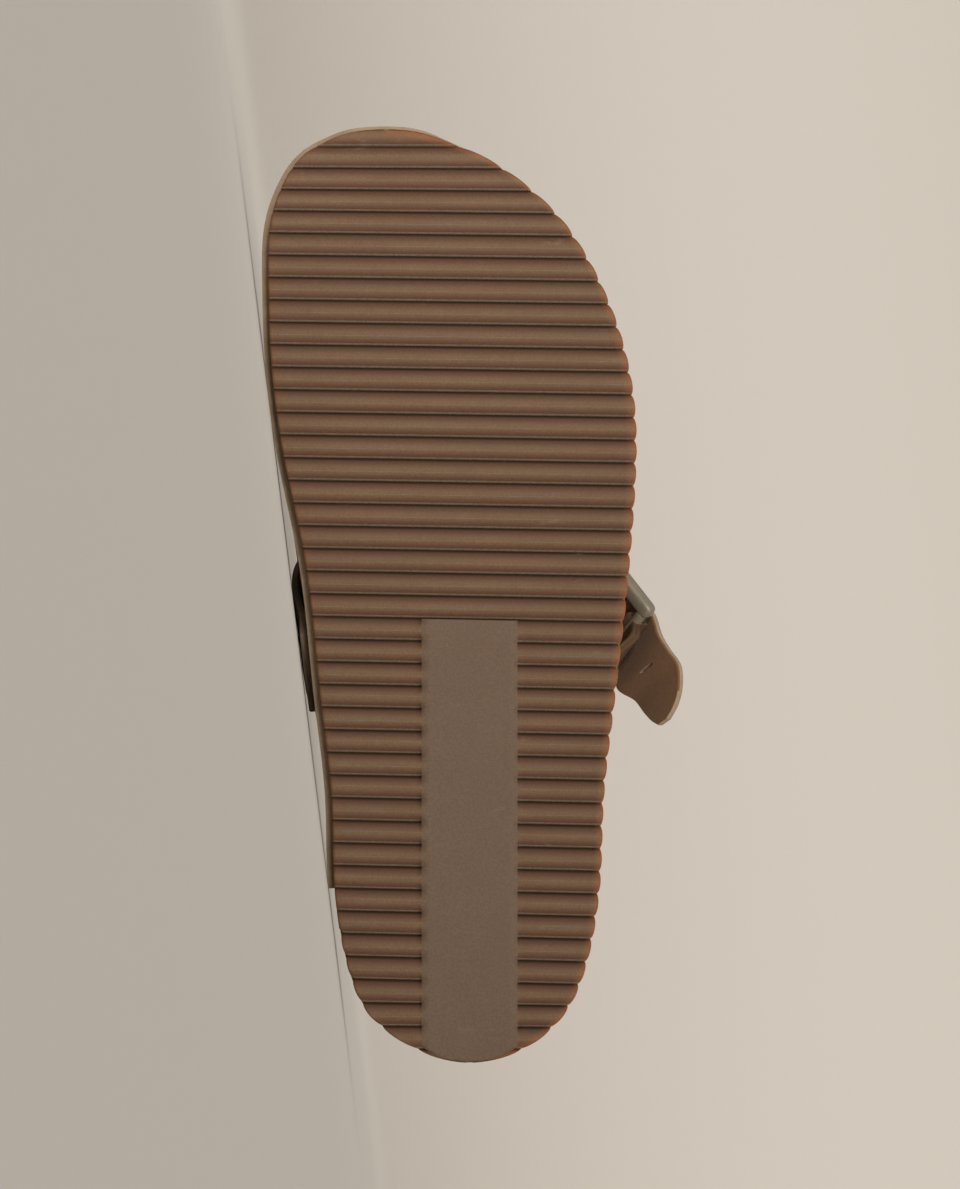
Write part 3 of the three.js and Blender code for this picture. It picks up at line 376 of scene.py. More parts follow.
def skin(angle, side, turn, grow=0.0):
    """Points of the upper's skin. turn is 1 at the wall's foot and 0 on the ridge; past 1 it
    runs straight down the wall. grow pushes the skin outwards."""
    offset = SEAT_GAP + UPPER_WALL + grow - side_inset(angle, side)
    foot_x, foot_y = outline_point(angle, side, offset)
    here = foot_x / SOLE_LENGTH
    spine = np.minimum(share_of_turn(angle), SPINE_FRONT)
    spine_x = spine * SOLE_LENGTH
    spine_y = across_share(spine) * SOLE_WIDTH
    low = rim_height(np.minimum(foot_x, SOLE_LENGTH)) + WALL_OVER_RIM
    bend = (1 - np.clip(turn, 0, 1)) * math.pi / 2
    power = 2 / squareness(here)
    out = np.maximum(np.cos(bend), 0) ** power
    rise = np.sin(bend) ** power
    bulge = np.where(np.asarray(side) < 0, inner_bulge(here), outer_bulge(here)) * SOLE_WIDTH
    swell = side * bulge * np.sin(math.pi * rise**0.7) ** 2
    high = ridge_share(spine) * INSTEP_HEIGHT + grow
    forward = np.maximum(foot_x - spine_x, 0) * out
    down = np.maximum(turn - 1, 0) * (low - UPPER_LOWER_EDGE - ground_lift(foot_x))
    x = spine_x + (foot_x - spine_x) * out
    y = spine_y + (foot_y - spine_y) * out + swell
    z = low + (high - low) * rise - TOE_SLOPE * forward * rise - down
    return np.stack(np.broadcast_arrays(x, y, z), axis=-1)


def angle_at(x, side):
    """Angle of the outline where the upper's foot on the given side lies at x."""
    return angle_where(x, side, SEAT_GAP + UPPER_WALL)


def unit(vectors):
    return vectors / np.linalg.norm(vectors, axis=-1, keepdims=True)


def on_upper(x, turn):
    """Points and outward normals on the upper; turn is below 0 on the inner side."""
    x = np.asarray(x, float)
    turn = np.asarray(turn, float)

    def point(dx, d_turn):
        t = turn + d_turn
        side = np.where(t < 0, -1, 1)
        return skin(angle_at(x + dx, side), side, np.abs(t))

    step = 0.002 * SOLE_LENGTH
    along = point(step, 0) - point(-step, 0)
    over = point(0, 0.02) - point(0, -0.02)
    return point(0, 0), unit(np.cross(along, over))


def lifted_over(points, height):
    """Points near the upper moved to a height over it, each in its own cross section."""
    points = np.asarray(points, float)
    x = points[:, 0]
    turns = np.arange(-1.6, 1.6, 0.01)
    nearest = np.full(len(x), np.inf)
    best = np.zeros(len(x))
    angles = {-1: angle_at(x, -1), 1: angle_at(x, 1)}
    for turn in turns:
        side = -1 if turn < 0 else 1
        distance = np.linalg.norm(skin(angles[side], side, abs(turn)) - points, axis=1)
        closer = distance < nearest
        nearest = np.where(closer, distance, nearest)
        best = np.where(closer, turn, best)
    foot, normal = on_upper(x, best)
    return foot + normal * np.asarray(height, float).reshape(-1, 1)


def lying_matrix():
    """Turns the shoe's frame into the floor's: the mount on the tread gives the tread's lean."""
    mount = frame["record"]["mounts"][0]
    tread_up = -mount["axis"][2]
    lean = -tread_up * math.sqrt((1 + FLOOR_SLOPE**2) / (1 - tread_up**2))
    up = -Vector((FLOOR_SLOPE, -1, lean)).normalized()
    front = Vector((0, 0, 1))
    front = (front - up * front.dot(up)).normalized()
    right = front.cross(up)
    turn = Matrix((right, front, up))
    place = Vector(mount["pos_m"]) * 1000 - turn @ Vector(MOUNT_PLACE)
    return np.array(turn), np.array(place)


TURN, PLACE = lying_matrix()
HEEL_TO_TOE = Vector(TURN[:, 0])
TO_OUTER_SIDE = Vector(TURN[:, 1])
SOLE_UP = Vector(TURN[:, 2])


def to_floor(points):
    """From the shoe's frame in millimetres to the floor's in metres."""
    return (np.asarray(points, float) @ TURN.T + PLACE) / 1000


def turned(vectors):
    return np.asarray(vectors, float) @ TURN.T


# Meshes


def grid_faces(rows, columns, ring=False):
    """Quads of a grid whose points lie row by row; ring closes each row on itself."""
    wide = columns if ring else columns - 1
    faces = []
    for i in range(rows - 1):
        for j in range(wide):
            k = (j + 1) % columns
            here, above = i * columns, (i + 1) * columns
            faces.append((here + j, here + k, above + k, above + j))
    return faces


def make_object(name, points, faces, attributes=None):
    """Mesh from points in the shoe's frame, with smooth faces that point outwards."""
    mesh = bpy.data.meshes.new(name)
    mesh.from_pydata(to_floor(points).tolist(), [], faces)
    for label, values in (attributes or {}).items():
        layer = mesh.attributes.new(label, "FLOAT", "POINT")
        layer.data.foreach_set("value", np.asarray(values, np.float32).ravel())
    piece = bpy.data.objects.new(name, mesh)
    bpy.context.scene.collection.objects.link(piece)
    tidy_mesh(piece)
    return piece


def tidy_mesh(piece, nearest=2e-6):
    work = bmesh.new()
    work.from_mesh(piece.data)
    bmesh.ops.remove_doubles(work, verts=work.verts, dist=nearest)
    bmesh.ops.recalc_face_normals(work, faces=work.faces)
    for face in work.faces:
        face.smooth = True
    work.to_mesh(piece.data)
    work.free()


def loft(name, rings, attributes=None):
    """Closed skin over rings of equal count, with both end rings filled."""
    rings = np.asarray(rings, float)
    rows, columns = rings.shape[:2]
    faces = grid_faces(rows, columns, ring=True)
    faces.append(tuple(range(columns)))
    faces.append(tuple(range((rows - 1) * columns, rows * columns)))
    return make_object(name, rings.reshape(-1, 3), faces, attributes)


def smoothed(rows, steps):
    """Rows of points with steps curved spans between each two, through every row."""
    rows = np.asarray(rows, float)
    padded = np.concatenate([[2 * rows[0] - rows[1]], rows, [2 * rows[-1] - rows[-2]]])
    parts = []
    for i in range(len(rows) - 1):
        p0, p1, p2, p3 = padded[i : i + 4]
        for step in range(steps):
            t = step / steps
            line = 2 * p1 + (p2 - p0) * t + (2 * p0 - 5 * p1 + 4 * p2 - p3) * t * t
            parts.append((line + (3 * p1 - p0 - 3 * p2 + p3) * t**3) / 2)
    parts.append(rows[-1])
    return np.array(parts)


def settle(piece):
    """Makes what the modifiers show the piece's own plain mesh."""
    graph = bpy.context.evaluated_depsgraph_get()
    shown = piece.evaluated_get(graph)
    mesh = bpy.data.meshes.new_from_object(shown, preserve_all_data_layers=True, depsgraph=graph)
    piece.modifiers.clear()
    piece.data = mesh
    mesh.name = piece.name
    return piece


def cut_away(piece, cutters):
    for cutter in cutters:
        cut = piece.modifiers.new("Cut", "BOOLEAN")
        cut.operation = "DIFFERENCE"
        cut.solver = "EXACT"
        cut.object = cutter
    settle(piece)
    for cutter in cutters:
        bpy.data.objects.remove(cutter)


def finished(piece, slot, *nodes):
    """The piece rides with the shoe and stands for its solids; the slot it is given is not used."""
    if nodes:
        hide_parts(*nodes)
    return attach(piece, "root")


# Colours and node trees

# The pale line beside each trough, partly a dusting and partly painted highlight: place and half width, in
# halves of the rib pitch
DUST_AND_HIGHLIGHT_PLACE = 0.13
DUST_AND_HIGHLIGHT_WIDTH = 0.13


def srgb(red, green, blue):
    """Linear colour from the 0 to 255 values that a picture shows."""
    shares = [value / 255 for value in (red, green, blue)]
    return tuple(s / 12.92 if s <= 0.04045 else ((s + 0.055) / 1.055) ** 2.4 for s in shares)


class Wiring:
    """A node tree with short calls for its nodes and links."""

    def __init__(self, tree):
        self.tree = tree

    def feed(self, socket, value):
        if isinstance(value, bpy.types.NodeSocket):
            self.tree.links.new(value, socket)
        elif isinstance(value, tuple) and len(value) == 3 and socket.type == "RGBA":
            socket.default_value = (*value, 1.0)
        else:
            socket.default_value = value

    def node(self, kind, inputs=None, **settings):
        made = self.tree.nodes.new(kind)
        for name, value in settings.items():
            setattr(made, name, value)
        for name, value in (inputs or {}).items():
            self.feed(made.inputs[name], value)
        return made

    def math(self, operation, a, b=0.0, c=0.0, clamp=False):
        inputs = {0: a, 1: b, 2: c}
        return self.node("ShaderNodeMath", inputs, operation=operation, use_clamp=clamp).outputs[0]

    def blend(self, factor, first, second, how="MIX"):
        """Mix of two colours."""
        mix = self.node("ShaderNodeMix", data_type="RGBA", blend_type=how)
        self.feed(mix.inputs[0], factor)
        self.feed(mix.inputs[6], first)
        self.feed(mix.inputs[7], second)
        return mix.outputs[2]

    def span(self, value, low, high, to_low=0.0, to_high=1.0):
        """Value from low to high mapped onto a new range, with soft ends."""
        ends = {"From Min": low, "From Max": high, "To Min": to_low, "To Max": to_high}
        inputs = {"Value": value, **ends}
        made = self.node("ShaderNodeMapRange", inputs, interpolation_type="SMOOTHSTEP")
        return made.outputs["Result"]

    def noise(self, place, scale, detail=2.0, roughness=0.5):
        inputs = {"Vector": place, "Scale": scale, "Detail": detail, "Roughness": roughness}
        return self.node("ShaderNodeTexNoise", inputs).outputs["Fac"]

    def attribute(self, name):
        return self.node("ShaderNodeAttribute", attribute_name=name).outputs["Fac"]

    def group(self, tree, **inputs):
        made = self.node("ShaderNodeGroup", node_tree=tree)
        for name, value in inputs.items():
            self.feed(made.inputs[name.replace("_", " ")], value)
        return made


def shader_group(name, inputs, outputs):
    """New shader group with named sockets: its wiring, its inputs and its output node."""
    tree = bpy.data.node_groups.new(name, "ShaderNodeTree")
    kinds = {"value": "NodeSocketFloat", "colour": "NodeSocketColor", "vector": "NodeSocketVector"}
    for label, kind in inputs.items():
        tree.interface.new_socket(name=label, in_out="INPUT", socket_type=kinds[kind])
    for label, kind in outputs.items():
        tree.interface.new_socket(name=label, in_out="OUTPUT", socket_type=kinds[kind])
    wiring = Wiring(tree)
    return wiring, wiring.node("NodeGroupInput").outputs, wiring.node("NodeGroupOutput").inputs


def blotches_group():
    """Two colours in soft blotches of a given size, with finer ones inside."""
    inputs = {"Dark": "colour", "Light": "colour", "Size": "value", "Contrast": "value"}
    wiring, given, result = shader_group("Blotches", inputs, {"Color": "colour", "Mask": "value"})
    place = wiring.node("ShaderNodeTexCoord").outputs["Object"]
    scale = wiring.math("DIVIDE", 1.0, given["Size"])
    coarse = wiring.noise(place, scale, detail=3.0, roughness=0.6)
    fine = wiring.noise(place, wiring.math("MULTIPLY", scale, 9.0), detail=3.0)
    coarse_share = wiring.math("MULTIPLY", coarse, 0.65)
    both = wiring.math("ADD", coarse_share, wiring.math("MULTIPLY", fine, 0.35))
    centred = wiring.math("MULTIPLY", wiring.math("SUBTRACT", both, 0.5), given["Contrast"])
    mask = wiring.math("ADD", centred, 0.5, clamp=True)
    wiring.feed(result["Color"], wiring.blend(mask, given["Dark"], given["Light"]))
    wiring.feed(result["Mask"], mask)
    return wiring.tree


def grain_group():
    """Bumps of a given size and height on top of a normal."""
    inputs = {"Size": "value", "Height": "value", "Normal": "vector"}
    wiring, given, result = shader_group("Grain", inputs, {"Normal": "vector", "Mask": "value"})
    place = wiring.node("ShaderNodeTexCoord").outputs["Object"]
    scale = wiring.math("DIVIDE", 1.0, given["Size"])
    mask = wiring.noise(place, scale, detail=4.0, roughness=0.65)
    inputs = {"Strength": 1.0, "Distance": given["Height"], "Height": mask, "Normal": given["Normal"]}
    bump = wiring.node("ShaderNodeBump", inputs)
    wiring.feed(result["Normal"], bump.outputs["Normal"])
    wiring.feed(result["Mask"], mask)
    return wiring.tree


def scuffs_group():
    """Mask of thin short scratches and rubbed spots, where an open surface was touched."""
    inputs = {"Size": "value", "Amount": "value"}
    wiring, given, result = shader_group("Scuffs", inputs, {"Mask": "value"})
    place = wiring.node("ShaderNodeTexCoord").outputs["Object"]
    inputs = {"Vector": place, "Scale": (1.0, 1.0, 0.35)}
    stretched = wiring.node("ShaderNodeMapping", inputs).outputs[0]
    scale = wiring.math("DIVIDE", 1.0, given["Size"])
    spots = wiring.noise(stretched, scale, detail=5.0, roughness=0.7)
    where = wiring.noise(place, wiring.math("MULTIPLY", scale, 0.2), detail=2.0)
    sharp = wiring.span(spots, 0.6, 0.72)
    patch = wiring.span(where, 0.48, 0.66)
    mask = wiring.math("MULTIPLY", wiring.math("MULTIPLY", sharp, patch), given["Amount"], clamp=True)
    wiring.feed(result["Mask"], mask)
    return wiring.tree


BLOTCHES = blotches_group()
GRAIN = grain_group()
SCUFFS = scuffs_group()


def new_material(name, roughness, **sockets):
    """Material with its Principled shader; sockets are set straight on the shader."""
    made = bpy.data.materials.new(name)
    made.use_nodes = True
    wiring = Wiring(made.node_tree)
    shader = made.node_tree.nodes["Principled BSDF"]
    shader.inputs["Roughness"].default_value = roughness
    for label, value in sockets.items():
        wiring.feed(shader.inputs[label.replace("_", " ")], value)
    return made, wiring, shader


def blotched(wiring, dark, light, size, contrast):
    """Colour in soft blotches."""
    inputs = {"Dark": dark, "Light": light, "Size": size, "Contrast": contrast}
    return wiring.group(BLOTCHES, **inputs).outputs["Color"]


def grained(wiring, shader, size, height):
    """Gives a shader its grain, and returns the grain's mask."""
    grain = wiring.group(GRAIN, Size=size, Height=height)
    wiring.feed(shader.inputs["Normal"], grain.outputs["Normal"])
    return grain.outputs["Mask"]


def scuffed(wiring, size, amount):
    return wiring.group(SCUFFS, Size=size, Amount=amount).outputs["Mask"]


def gum_material(looks):
    """Moulded gum: yellower crests, redder flanks that are also darkened as painted shade, painted
    shade in each trough, a pale line on the trough's toe side that is partly a dusting and partly
    painted highlight, and a painted orange glow in the thin rim, as if light came through it."""
    made, wiring, shader = new_material("Gum rubber", 0.62, Specular_IOR_Level=0.25)
    crests = blotched(wiring, srgb(98, 73, 50), tuple(looks.gum), 0.03, 2.0)
    trough = wiring.attribute("trough")
    # Flanks: redder than the crests, and darker as painted shade of the rounded ribs
    flanks = wiring.blend(wiring.span(trough, 0.05, 0.7), crests, tuple(looks.shaded_gum_flank))
    # Painted shade: the bottom of each trough turns near black
    dark = wiring.blend(wiring.span(trough, 0.72, 0.93), flanks, srgb(58, 41, 29))
    off_line = wiring.math("ABSOLUTE", wiring.math("SUBTRACT", wiring.attribute("toeward"), DUST_AND_HIGHLIGHT_PLACE))
    # Pale line on the toe side of each trough: partly a dusting, partly painted highlight
    dust_and_highlight = wiring.span(off_line, 0.03, DUST_AND_HIGHLIGHT_WIDTH, 0.9, 0.0)
    with_dust_and_highlight = wiring.blend(dust_and_highlight, dark, tuple(looks.dust_and_highlight))
    # Painted glow: orange, as if light came through the thin rim
    glow = wiring.math("MULTIPLY", wiring.attribute("rim"), 0.9)
    warm = wiring.blend(glow, with_dust_and_highlight, tuple(looks.painted_rim_glow))
    plain = blotched(wiring, tuple(looks.panel), srgb(105, 86, 69), 0.05, 1.6)
    panelled = wiring.blend(wiring.attribute("panel"), warm, plain)
    worn = wiring.blend(scuffed(wiring, 0.004, 0.25), panelled, srgb(144, 126, 106))
    fine = grained(wiring, shader, 0.0007, 0.00006)
    pores = wiring.span(fine, 0.62, 0.38, 0.0, 0.3)
    wiring.feed(shader.inputs["Base Color"], wiring.blend(pores, worn, srgb(62, 43, 30)))
    wiring.feed(shader.inputs["Roughness"], wiring.span(fine, 0.3, 0.7, 0.55, 0.75))
    return made


def suede_material(name, dark, light, nap=0.0005, sheen=0.25):
    """Short nap: brushed darker and lighter, dull at any angle but for a soft sheen."""
    made, wiring, shader = new_material(
        name, 0.95, Sheen_Weight=sheen, Sheen_Roughness=0.5, Specular_IOR_Level=0.15
    )
    brushed = blotched(wiring, dark, light, 0.018, 2.6)
    fibres = grained(wiring, shader, nap, 0.00018)
    speckled = wiring.blend(0.35, brushed, wiring.blend(fibres, dark, light))
    rubbed = wiring.blend(scuffed(wiring, 0.006, 0.3), speckled, light)
    wiring.feed(shader.inputs["Base Color"], rubbed)
    return made


def flesh_material():
    """Underside of the strap: raw brown hide with loose fibres and a pale cut edge."""
    made, wiring, shader = new_material("Flesh side", 0.9, Sheen_Weight=0.1, Specular_IOR_Level=0.2)
    raw = blotched(wiring, srgb(106, 74, 47), srgb(128, 93, 60), 0.012, 2.4)
    fibres = grained(wiring, shader, 0.0008, 0.0002)
    loose = wiring.blend(fibres, srgb(84, 60, 42), srgb(136, 106, 80))
    wiring.feed(shader.inputs["Base Color"], wiring.blend(0.4, raw, loose))
    return made


def cut_edge_material():
    made, wiring, shader = new_material("Cut edge", 0.9, Specular_IOR_Level=0.2)
    raw = blotched(wiring, srgb(134, 112, 90), srgb(164, 142, 118), 0.006, 2.0)
    wiring.feed(shader.inputs["Base Color"], raw)
    grained(wiring, shader, 0.0005, 0.0001)
    return made


def cork_material():
    """Ground cork: packed granules in several browns with dark specks between them."""
    made, wiring, shader = new_material("Cork", 0.85, Specular_IOR_Level=0.25)
    place = wiring.node("ShaderNodeTexCoord").outputs["Object"]
    inputs = {"Vector": place, "Scale": 520.0}
    cells = wiring.node("ShaderNodeTexVoronoi", inputs)
    between = wiring.node("ShaderNodeTexVoronoi", inputs, feature="DISTANCE_TO_EDGE").outputs["Distance"]
    tint = wiring.node("ShaderNodeSeparateColor", {"Color": cells.outputs["Color"]}).outputs[0]
    brown = wiring.blend(tint, srgb(112, 80, 52), srgb(172, 136, 98))
    speck = wiring.span(wiring.noise(place, 700.0, detail=2.0), 0.62, 0.72)
    specked = wiring.blend(speck, brown, srgb(56, 38, 26))
    seam = wiring.span(between, 0.0, 0.08, 1.0, 0.0)
    wiring.feed(shader.inputs["Base Color"], wiring.blend(seam, specked, srgb(70, 48, 33)))
    bump = wiring.node("ShaderNodeBump", {"Strength": 0.6, "Distance": 0.0002, "Height": between})
    wiring.feed(shader.inputs["Normal"], bump.outputs["Normal"])
    return made


def metal_material(name, colour, worn, roughness, metallic):
    """Coated metal, rubbed a little lighter in spots."""
    made, wiring, shader = new_material(name, roughness, Metallic=metallic)
    coat = blotched(wiring, colour, worn, 0.01, 1.8)
    rubbed = wiring.blend(scuffed(wiring, 0.002, 0.5), coat, worn)
    fine = grained(wiring, shader, 0.0006, 0.00003)
    wiring.feed(shader.inputs["Base Color"], rubbed)
    matt = wiring.span(fine, 0.3, 0.7, roughness - 0.08, roughness + 0.1)
    wiring.feed(shader.inputs["Roughness"], matt)
    return made


def thread_material():
    made, wiring, shader = new_material("Thread", 0.8, Sheen_Weight=0.2)
    spun = blotched(wiring, srgb(84, 70, 56), srgb(108, 92, 76), 0.0008, 2.0)
    wiring.feed(shader.inputs["Base Color"], spun)
    return made


def stage_material(looks):
    made, wiring, shader = new_material("Pale ground", 0.95, Specular_IOR_Level=0.1)
    wiring.feed(shader.inputs["Base Color"], tuple(looks.ground))
    return made


# Geometry trees


def geometry_tree(name, inputs):
    """New geometry tree with named inputs: its wiring, its inputs and their identifiers."""
    tree = bpy.data.node_groups.new(name, "GeometryNodeTree")
    identifiers = {}
    for label, kind in {"Geometry": "Geometry", **inputs}.items():
        made = tree.interface.new_socket(name=label, in_out="INPUT", socket_type="NodeSocket" + kind)
        identifiers[label] = made.identifier
    tree.interface.new_socket(name="Geometry", in_out="OUTPUT", socket_type="NodeSocketGeometry")
    net = Wiring(tree)
    return net, net.node("NodeGroupInput").outputs, identifiers


def end_tree(net, geometry, material):
    """Ends a tree in real geometry that wears its material."""
    real = net.node("GeometryNodeRealizeInstances", {"Geometry": geometry})
    dressed = net.node("GeometryNodeSetMaterial", {"Geometry": real.outputs[0], "Material": material})
    net.feed(net.node("NodeGroupOutput").inputs[0], dressed.outputs[0])


def worked(piece, tree, identifiers, values):
    """Runs a geometry tree on a piece, with these values, and keeps the result as its mesh."""
    run = piece.modifiers.new(tree.name, "NODES")
    run.node_group = tree
    for label, value in values.items():
        run[identifiers[label]] = value
    return settle(piece)


# Tread ribs


def ribs_tree(material):
    """Presses the cross troughs into the sole and draws in its edge between two ribs."""
    inputs = {
        "First trough": "Float",
        "Pitch": "Float",
        "Ribs": "Int",
        "Depth": "Float",
        "Roundness": "Float",
        "Scallop": "Float",
        "Up": "Vector",
        "Inwards": "Vector",
    }
    net, given, identifiers = geometry_tree("Tread ribs", inputs)

    def stored(label):
        return net.node("GeometryNodeInputNamedAttribute", {"Name": label}, data_type="FLOAT").outputs[0]

    past_first = net.math("SUBTRACT", stored("along"), given["First trough"])
    phase = net.math("DIVIDE", past_first, given["Pitch"])
    near = net.math("MINIMUM", net.math("MAXIMUM", net.math("ROUND", phase), 0.0), given["Ribs"])
    toeward = net.math("MULTIPLY", net.math("SUBTRACT", phase, near), 2.0)
    wedge = net.math("MAXIMUM", net.math("SUBTRACT", 1.0, net.math("ABSOLUTE", toeward)), 0.0)
    rounded = net.math("SUBTRACT", 1.0, net.math("POWER", wedge, given["Roundness"]))
    crown = net.math("POWER", rounded, net.math("DIVIDE", 1.0, given["Roundness"]))
    profile = net.math("SUBTRACT", 1.0, crown)
    pressed = net.math("MULTIPLY", net.math("MULTIPLY", profile, stored("press")), given["Depth"])
    drawn = net.math("MULTIPLY", net.math("MULTIPLY", profile, stored("scallop")), given["Scallop"])

    def scaled(vector, amount):
        return net.node("ShaderNodeVectorMath", {0: vector, "Scale": amount}, operation="SCALE").outputs[0]

    both = {0: scaled(given["Up"], pressed), 1: scaled(given["Inwards"], drawn)}
    inputs = {"Geometry": given["Geometry"], "Offset": net.node("ShaderNodeVectorMath", both).outputs[0]}
    moved = net.node("GeometryNodeSetPosition", inputs)
    marked = moved.outputs[0]
    # Masks that place the gum's painted trough shade and its pale line
    for label, value in (("trough", wedge), ("toeward", toeward)):
        kept = net.math("MULTIPLY", value, stored("press"))
        inputs = {"Geometry": marked, "Name": label, "Value": kept}
        store = net.node("GeometryNodeStoreNamedAttribute", inputs, data_type="FLOAT", domain="POINT")
        marked = store.outputs[0]
    end_tree(net, marked, material)
    return net.tree, identifiers


EDGE_ROUND = 0.9
# Share of the painted rim glow on the inner side, which lies towards the floor
INNER_GLOW = 0.25
ROUNDING = [
    dict(inset=0.0, drop=1.0),
    dict(inset=0.08, drop=0.6),
    dict(inset=0.3, drop=0.29),
    dict(inset=0.62, drop=0.08),
    dict(inset=1.0, drop=0.0),
]


def tread_stations():
    """Sections along the tread: many over each rib, close together in its troughs."""
    half = [0.015, 0.04, 0.08, 0.14, 0.21, 0.3, 0.4]
    over_rib = [0, *half, 0.5, *(1 - along for along in half[::-1])]
    stations = list(np.array([0.01, 0.05, 0.12, 0.22, 0.36, 0.52, 0.7, 0.85, 0.93, 0.98]) * HEEL_RIM)
    for rib in range(RIB_COUNT):
        stations += [HEEL_RIM + (rib + along) * RIB_PITCH for along in over_rib]
    tip = np.array([0, 0.04, 0.1, 0.18, 0.3, 0.45, 0.6, 0.75, 0.86, 0.94, 0.98, 0.998]) * TOE_RIM
    return np.array(stations + list(LAST_TROUGH + tip))


def outsole_ring(x):
    """One section of the outsole and its marks: pressed by ribs, scalloped, panel and rim."""
    slant = RIB_SLANT_HEEL + (RIB_SLANT_TOE - RIB_SLANT_HEEL) * x / SOLE_LENGTH
    both_ends = min(x - HEEL_RIM, LAST_TROUGH - x) / (3 * RIB_PITCH)
    shear = math.tan(slant) * min(max(both_ends, 0), 1)
    base = float(ground_lift(x))
    tip = min(x, SOLE_LENGTH - x)
    # Strength of the painted rim glow on each side; it fades from the side walls over the corners onto the
    # tread
    glow = {-1: INNER_GLOW, 1: 1}
    points = []
    marks = []

    def add(px, py, z, press, scallop, panel, rim):
        points.append((px, py, z))
        marks.append((x, press, scallop, panel, rim))

    sides = {}
    for sign in (-1, 1):
        along = x - float(edge(x, sign)) * shear
        sides[sign] = (along, float(edge(along, sign)))
    inner, outer = sides[-1][1], sides[1][1]
    width = outer - inner
    on_panel = x < PANEL_FRONT - PANEL_DRAFT / 2
    left = min(max(-PANEL_WIDTH / 2, inner + 0.1 * width), inner + 0.4 * width)
    right = min(max(PANEL_WIDTH / 2, inner + 0.6 * width), inner + 0.9 * width)

    scallops = {-1: 1 if x < INNER_SCALLOP_END * SOLE_LENGTH else 0, 1: -1}
    round_off = min(EDGE_ROUND, 0.2 * width)

    def corner(sign, rows):
        along, reach = sides[sign]
        for row in rows:
            y = reach - sign * row["inset"] * round_off
            z = base + row["drop"] * EDGE_ROUND
            rim = glow[sign] * (0.25 + 0.75 * row["drop"])
            add(along + (reach - y) * shear, y, z, 1, scallops[sign], 0, rim)

    def side_wall(sign, shares):
        along, reach = sides[sign]
        for share in shares:
            z = base + EDGE_ROUND + (OUTSOLE_THICKNESS - EDGE_ROUND) * share
            add(along, reach, z, 1 - share, scallops[sign], 0, glow[sign])

    def tread(start, end, count, ends, panel):
        for i in range(count + 1):
            if not ends[0] and i == 0 or not ends[1] and i == count:
                continue
            y = start + (end - start) * i / count
            span = 2 * (y - inner) / width - 1
            from_tip = tip * (1 - span * span)
            depth = max(EDGE_ROUND - from_tip, 0)
            z = base + EDGE_ROUND - math.sqrt(max(EDGE_ROUND**2 - depth**2, 0))
            from_edge = min(y - inner, outer - y, from_tip)
            rim = glow[1 if outer - y < y - inner else -1] * min(max(1 - from_edge / 2.5, 0), 1) * 0.5
            add(x - y * shear, y, z, 0 if panel else 1, 0, 1 if panel else 0, 0 if panel else rim)

    draft = PANEL_DRAFT / 2
    side_wall(-1, (1.0, 0.5))
    corner(-1, ROUNDING)
    tread(inner + round_off, left - draft, 14, (False, True), False)
    tread(left, right, 12, (True, True), on_panel)
    tread(right + draft, outer - round_off, 14, (True, False), False)
    corner(1, ROUNDING[::-1])
    side_wall(1, (0.5, 1.0))
    return points, marks


def build_outsole(sizes, looks):
    rings, marks = zip(*(outsole_ring(x) for x in tread_stations()))
    columns = np.array(marks, float).reshape(-1, 5)
    names = ("along", "press", "scallop", "panel", "rim")
    attributes = {name: columns[:, i] for i, name in enumerate(names)}
    piece = loft("gum_outsole", rings, attributes)
    tree, identifiers = ribs_tree(gum_material(looks))
    values = {
        "First trough": HEEL_RIM,
        "Pitch": RIB_PITCH,
        "Ribs": RIB_COUNT,
        "Depth": sizes.rib_depth,
        "Roundness": sizes.rib_roundness,
        "Scallop": sizes.scallop,
        "Up": SOLE_UP,
        "Inwards": TO_OUTER_SIDE,
    }
    return finished(worked(piece, tree, identifiers, values), "gum_rubber", "outsole")


# Cork footbed and sock


def footbed_stations(count):
    return share_of_turn(np.linspace(0.05, math.pi - 0.05, count)) * SOLE_LENGTH


def bed_points(x, across, lift):
    """Cross line of the footbed inside its rim; near the tips it lies flat on the rim."""
    inner_edge, outer_edge = float(footbed_edge(x, -1)), float(footbed_edge(x, 1))
    width = outer_edge - inner_edge
    inner = np.clip(edge(x, -1, RIM_WIDTH), inner_edge + 0.02 * width, inner_edge + 0.4 * width)
    drawn_in = edge(x, 1, RIM_WIDTH) - edge(x, 1) + outer_edge
    outer = np.clip(drawn_in, inner_edge + 0.6 * width, inner_edge + 0.98 * width)
    tip = min(x, SOLE_LENGTH - x)
    open_bed = min(max((tip - RIM_WIDTH) / (2 * RIM_MARGIN), 0), 1)
    flat_y = inner_edge + width * (0.35 * across + 1) / 2
    y = flat_y + (inner + (outer - inner) * (across + 1) / 2 - flat_y) * open_bed
    height = rim_height(x) + (bed_height(x, across) - rim_height(x)) * open_bed
    return np.stack([np.full_like(y, x), y, height + lift], axis=-1)


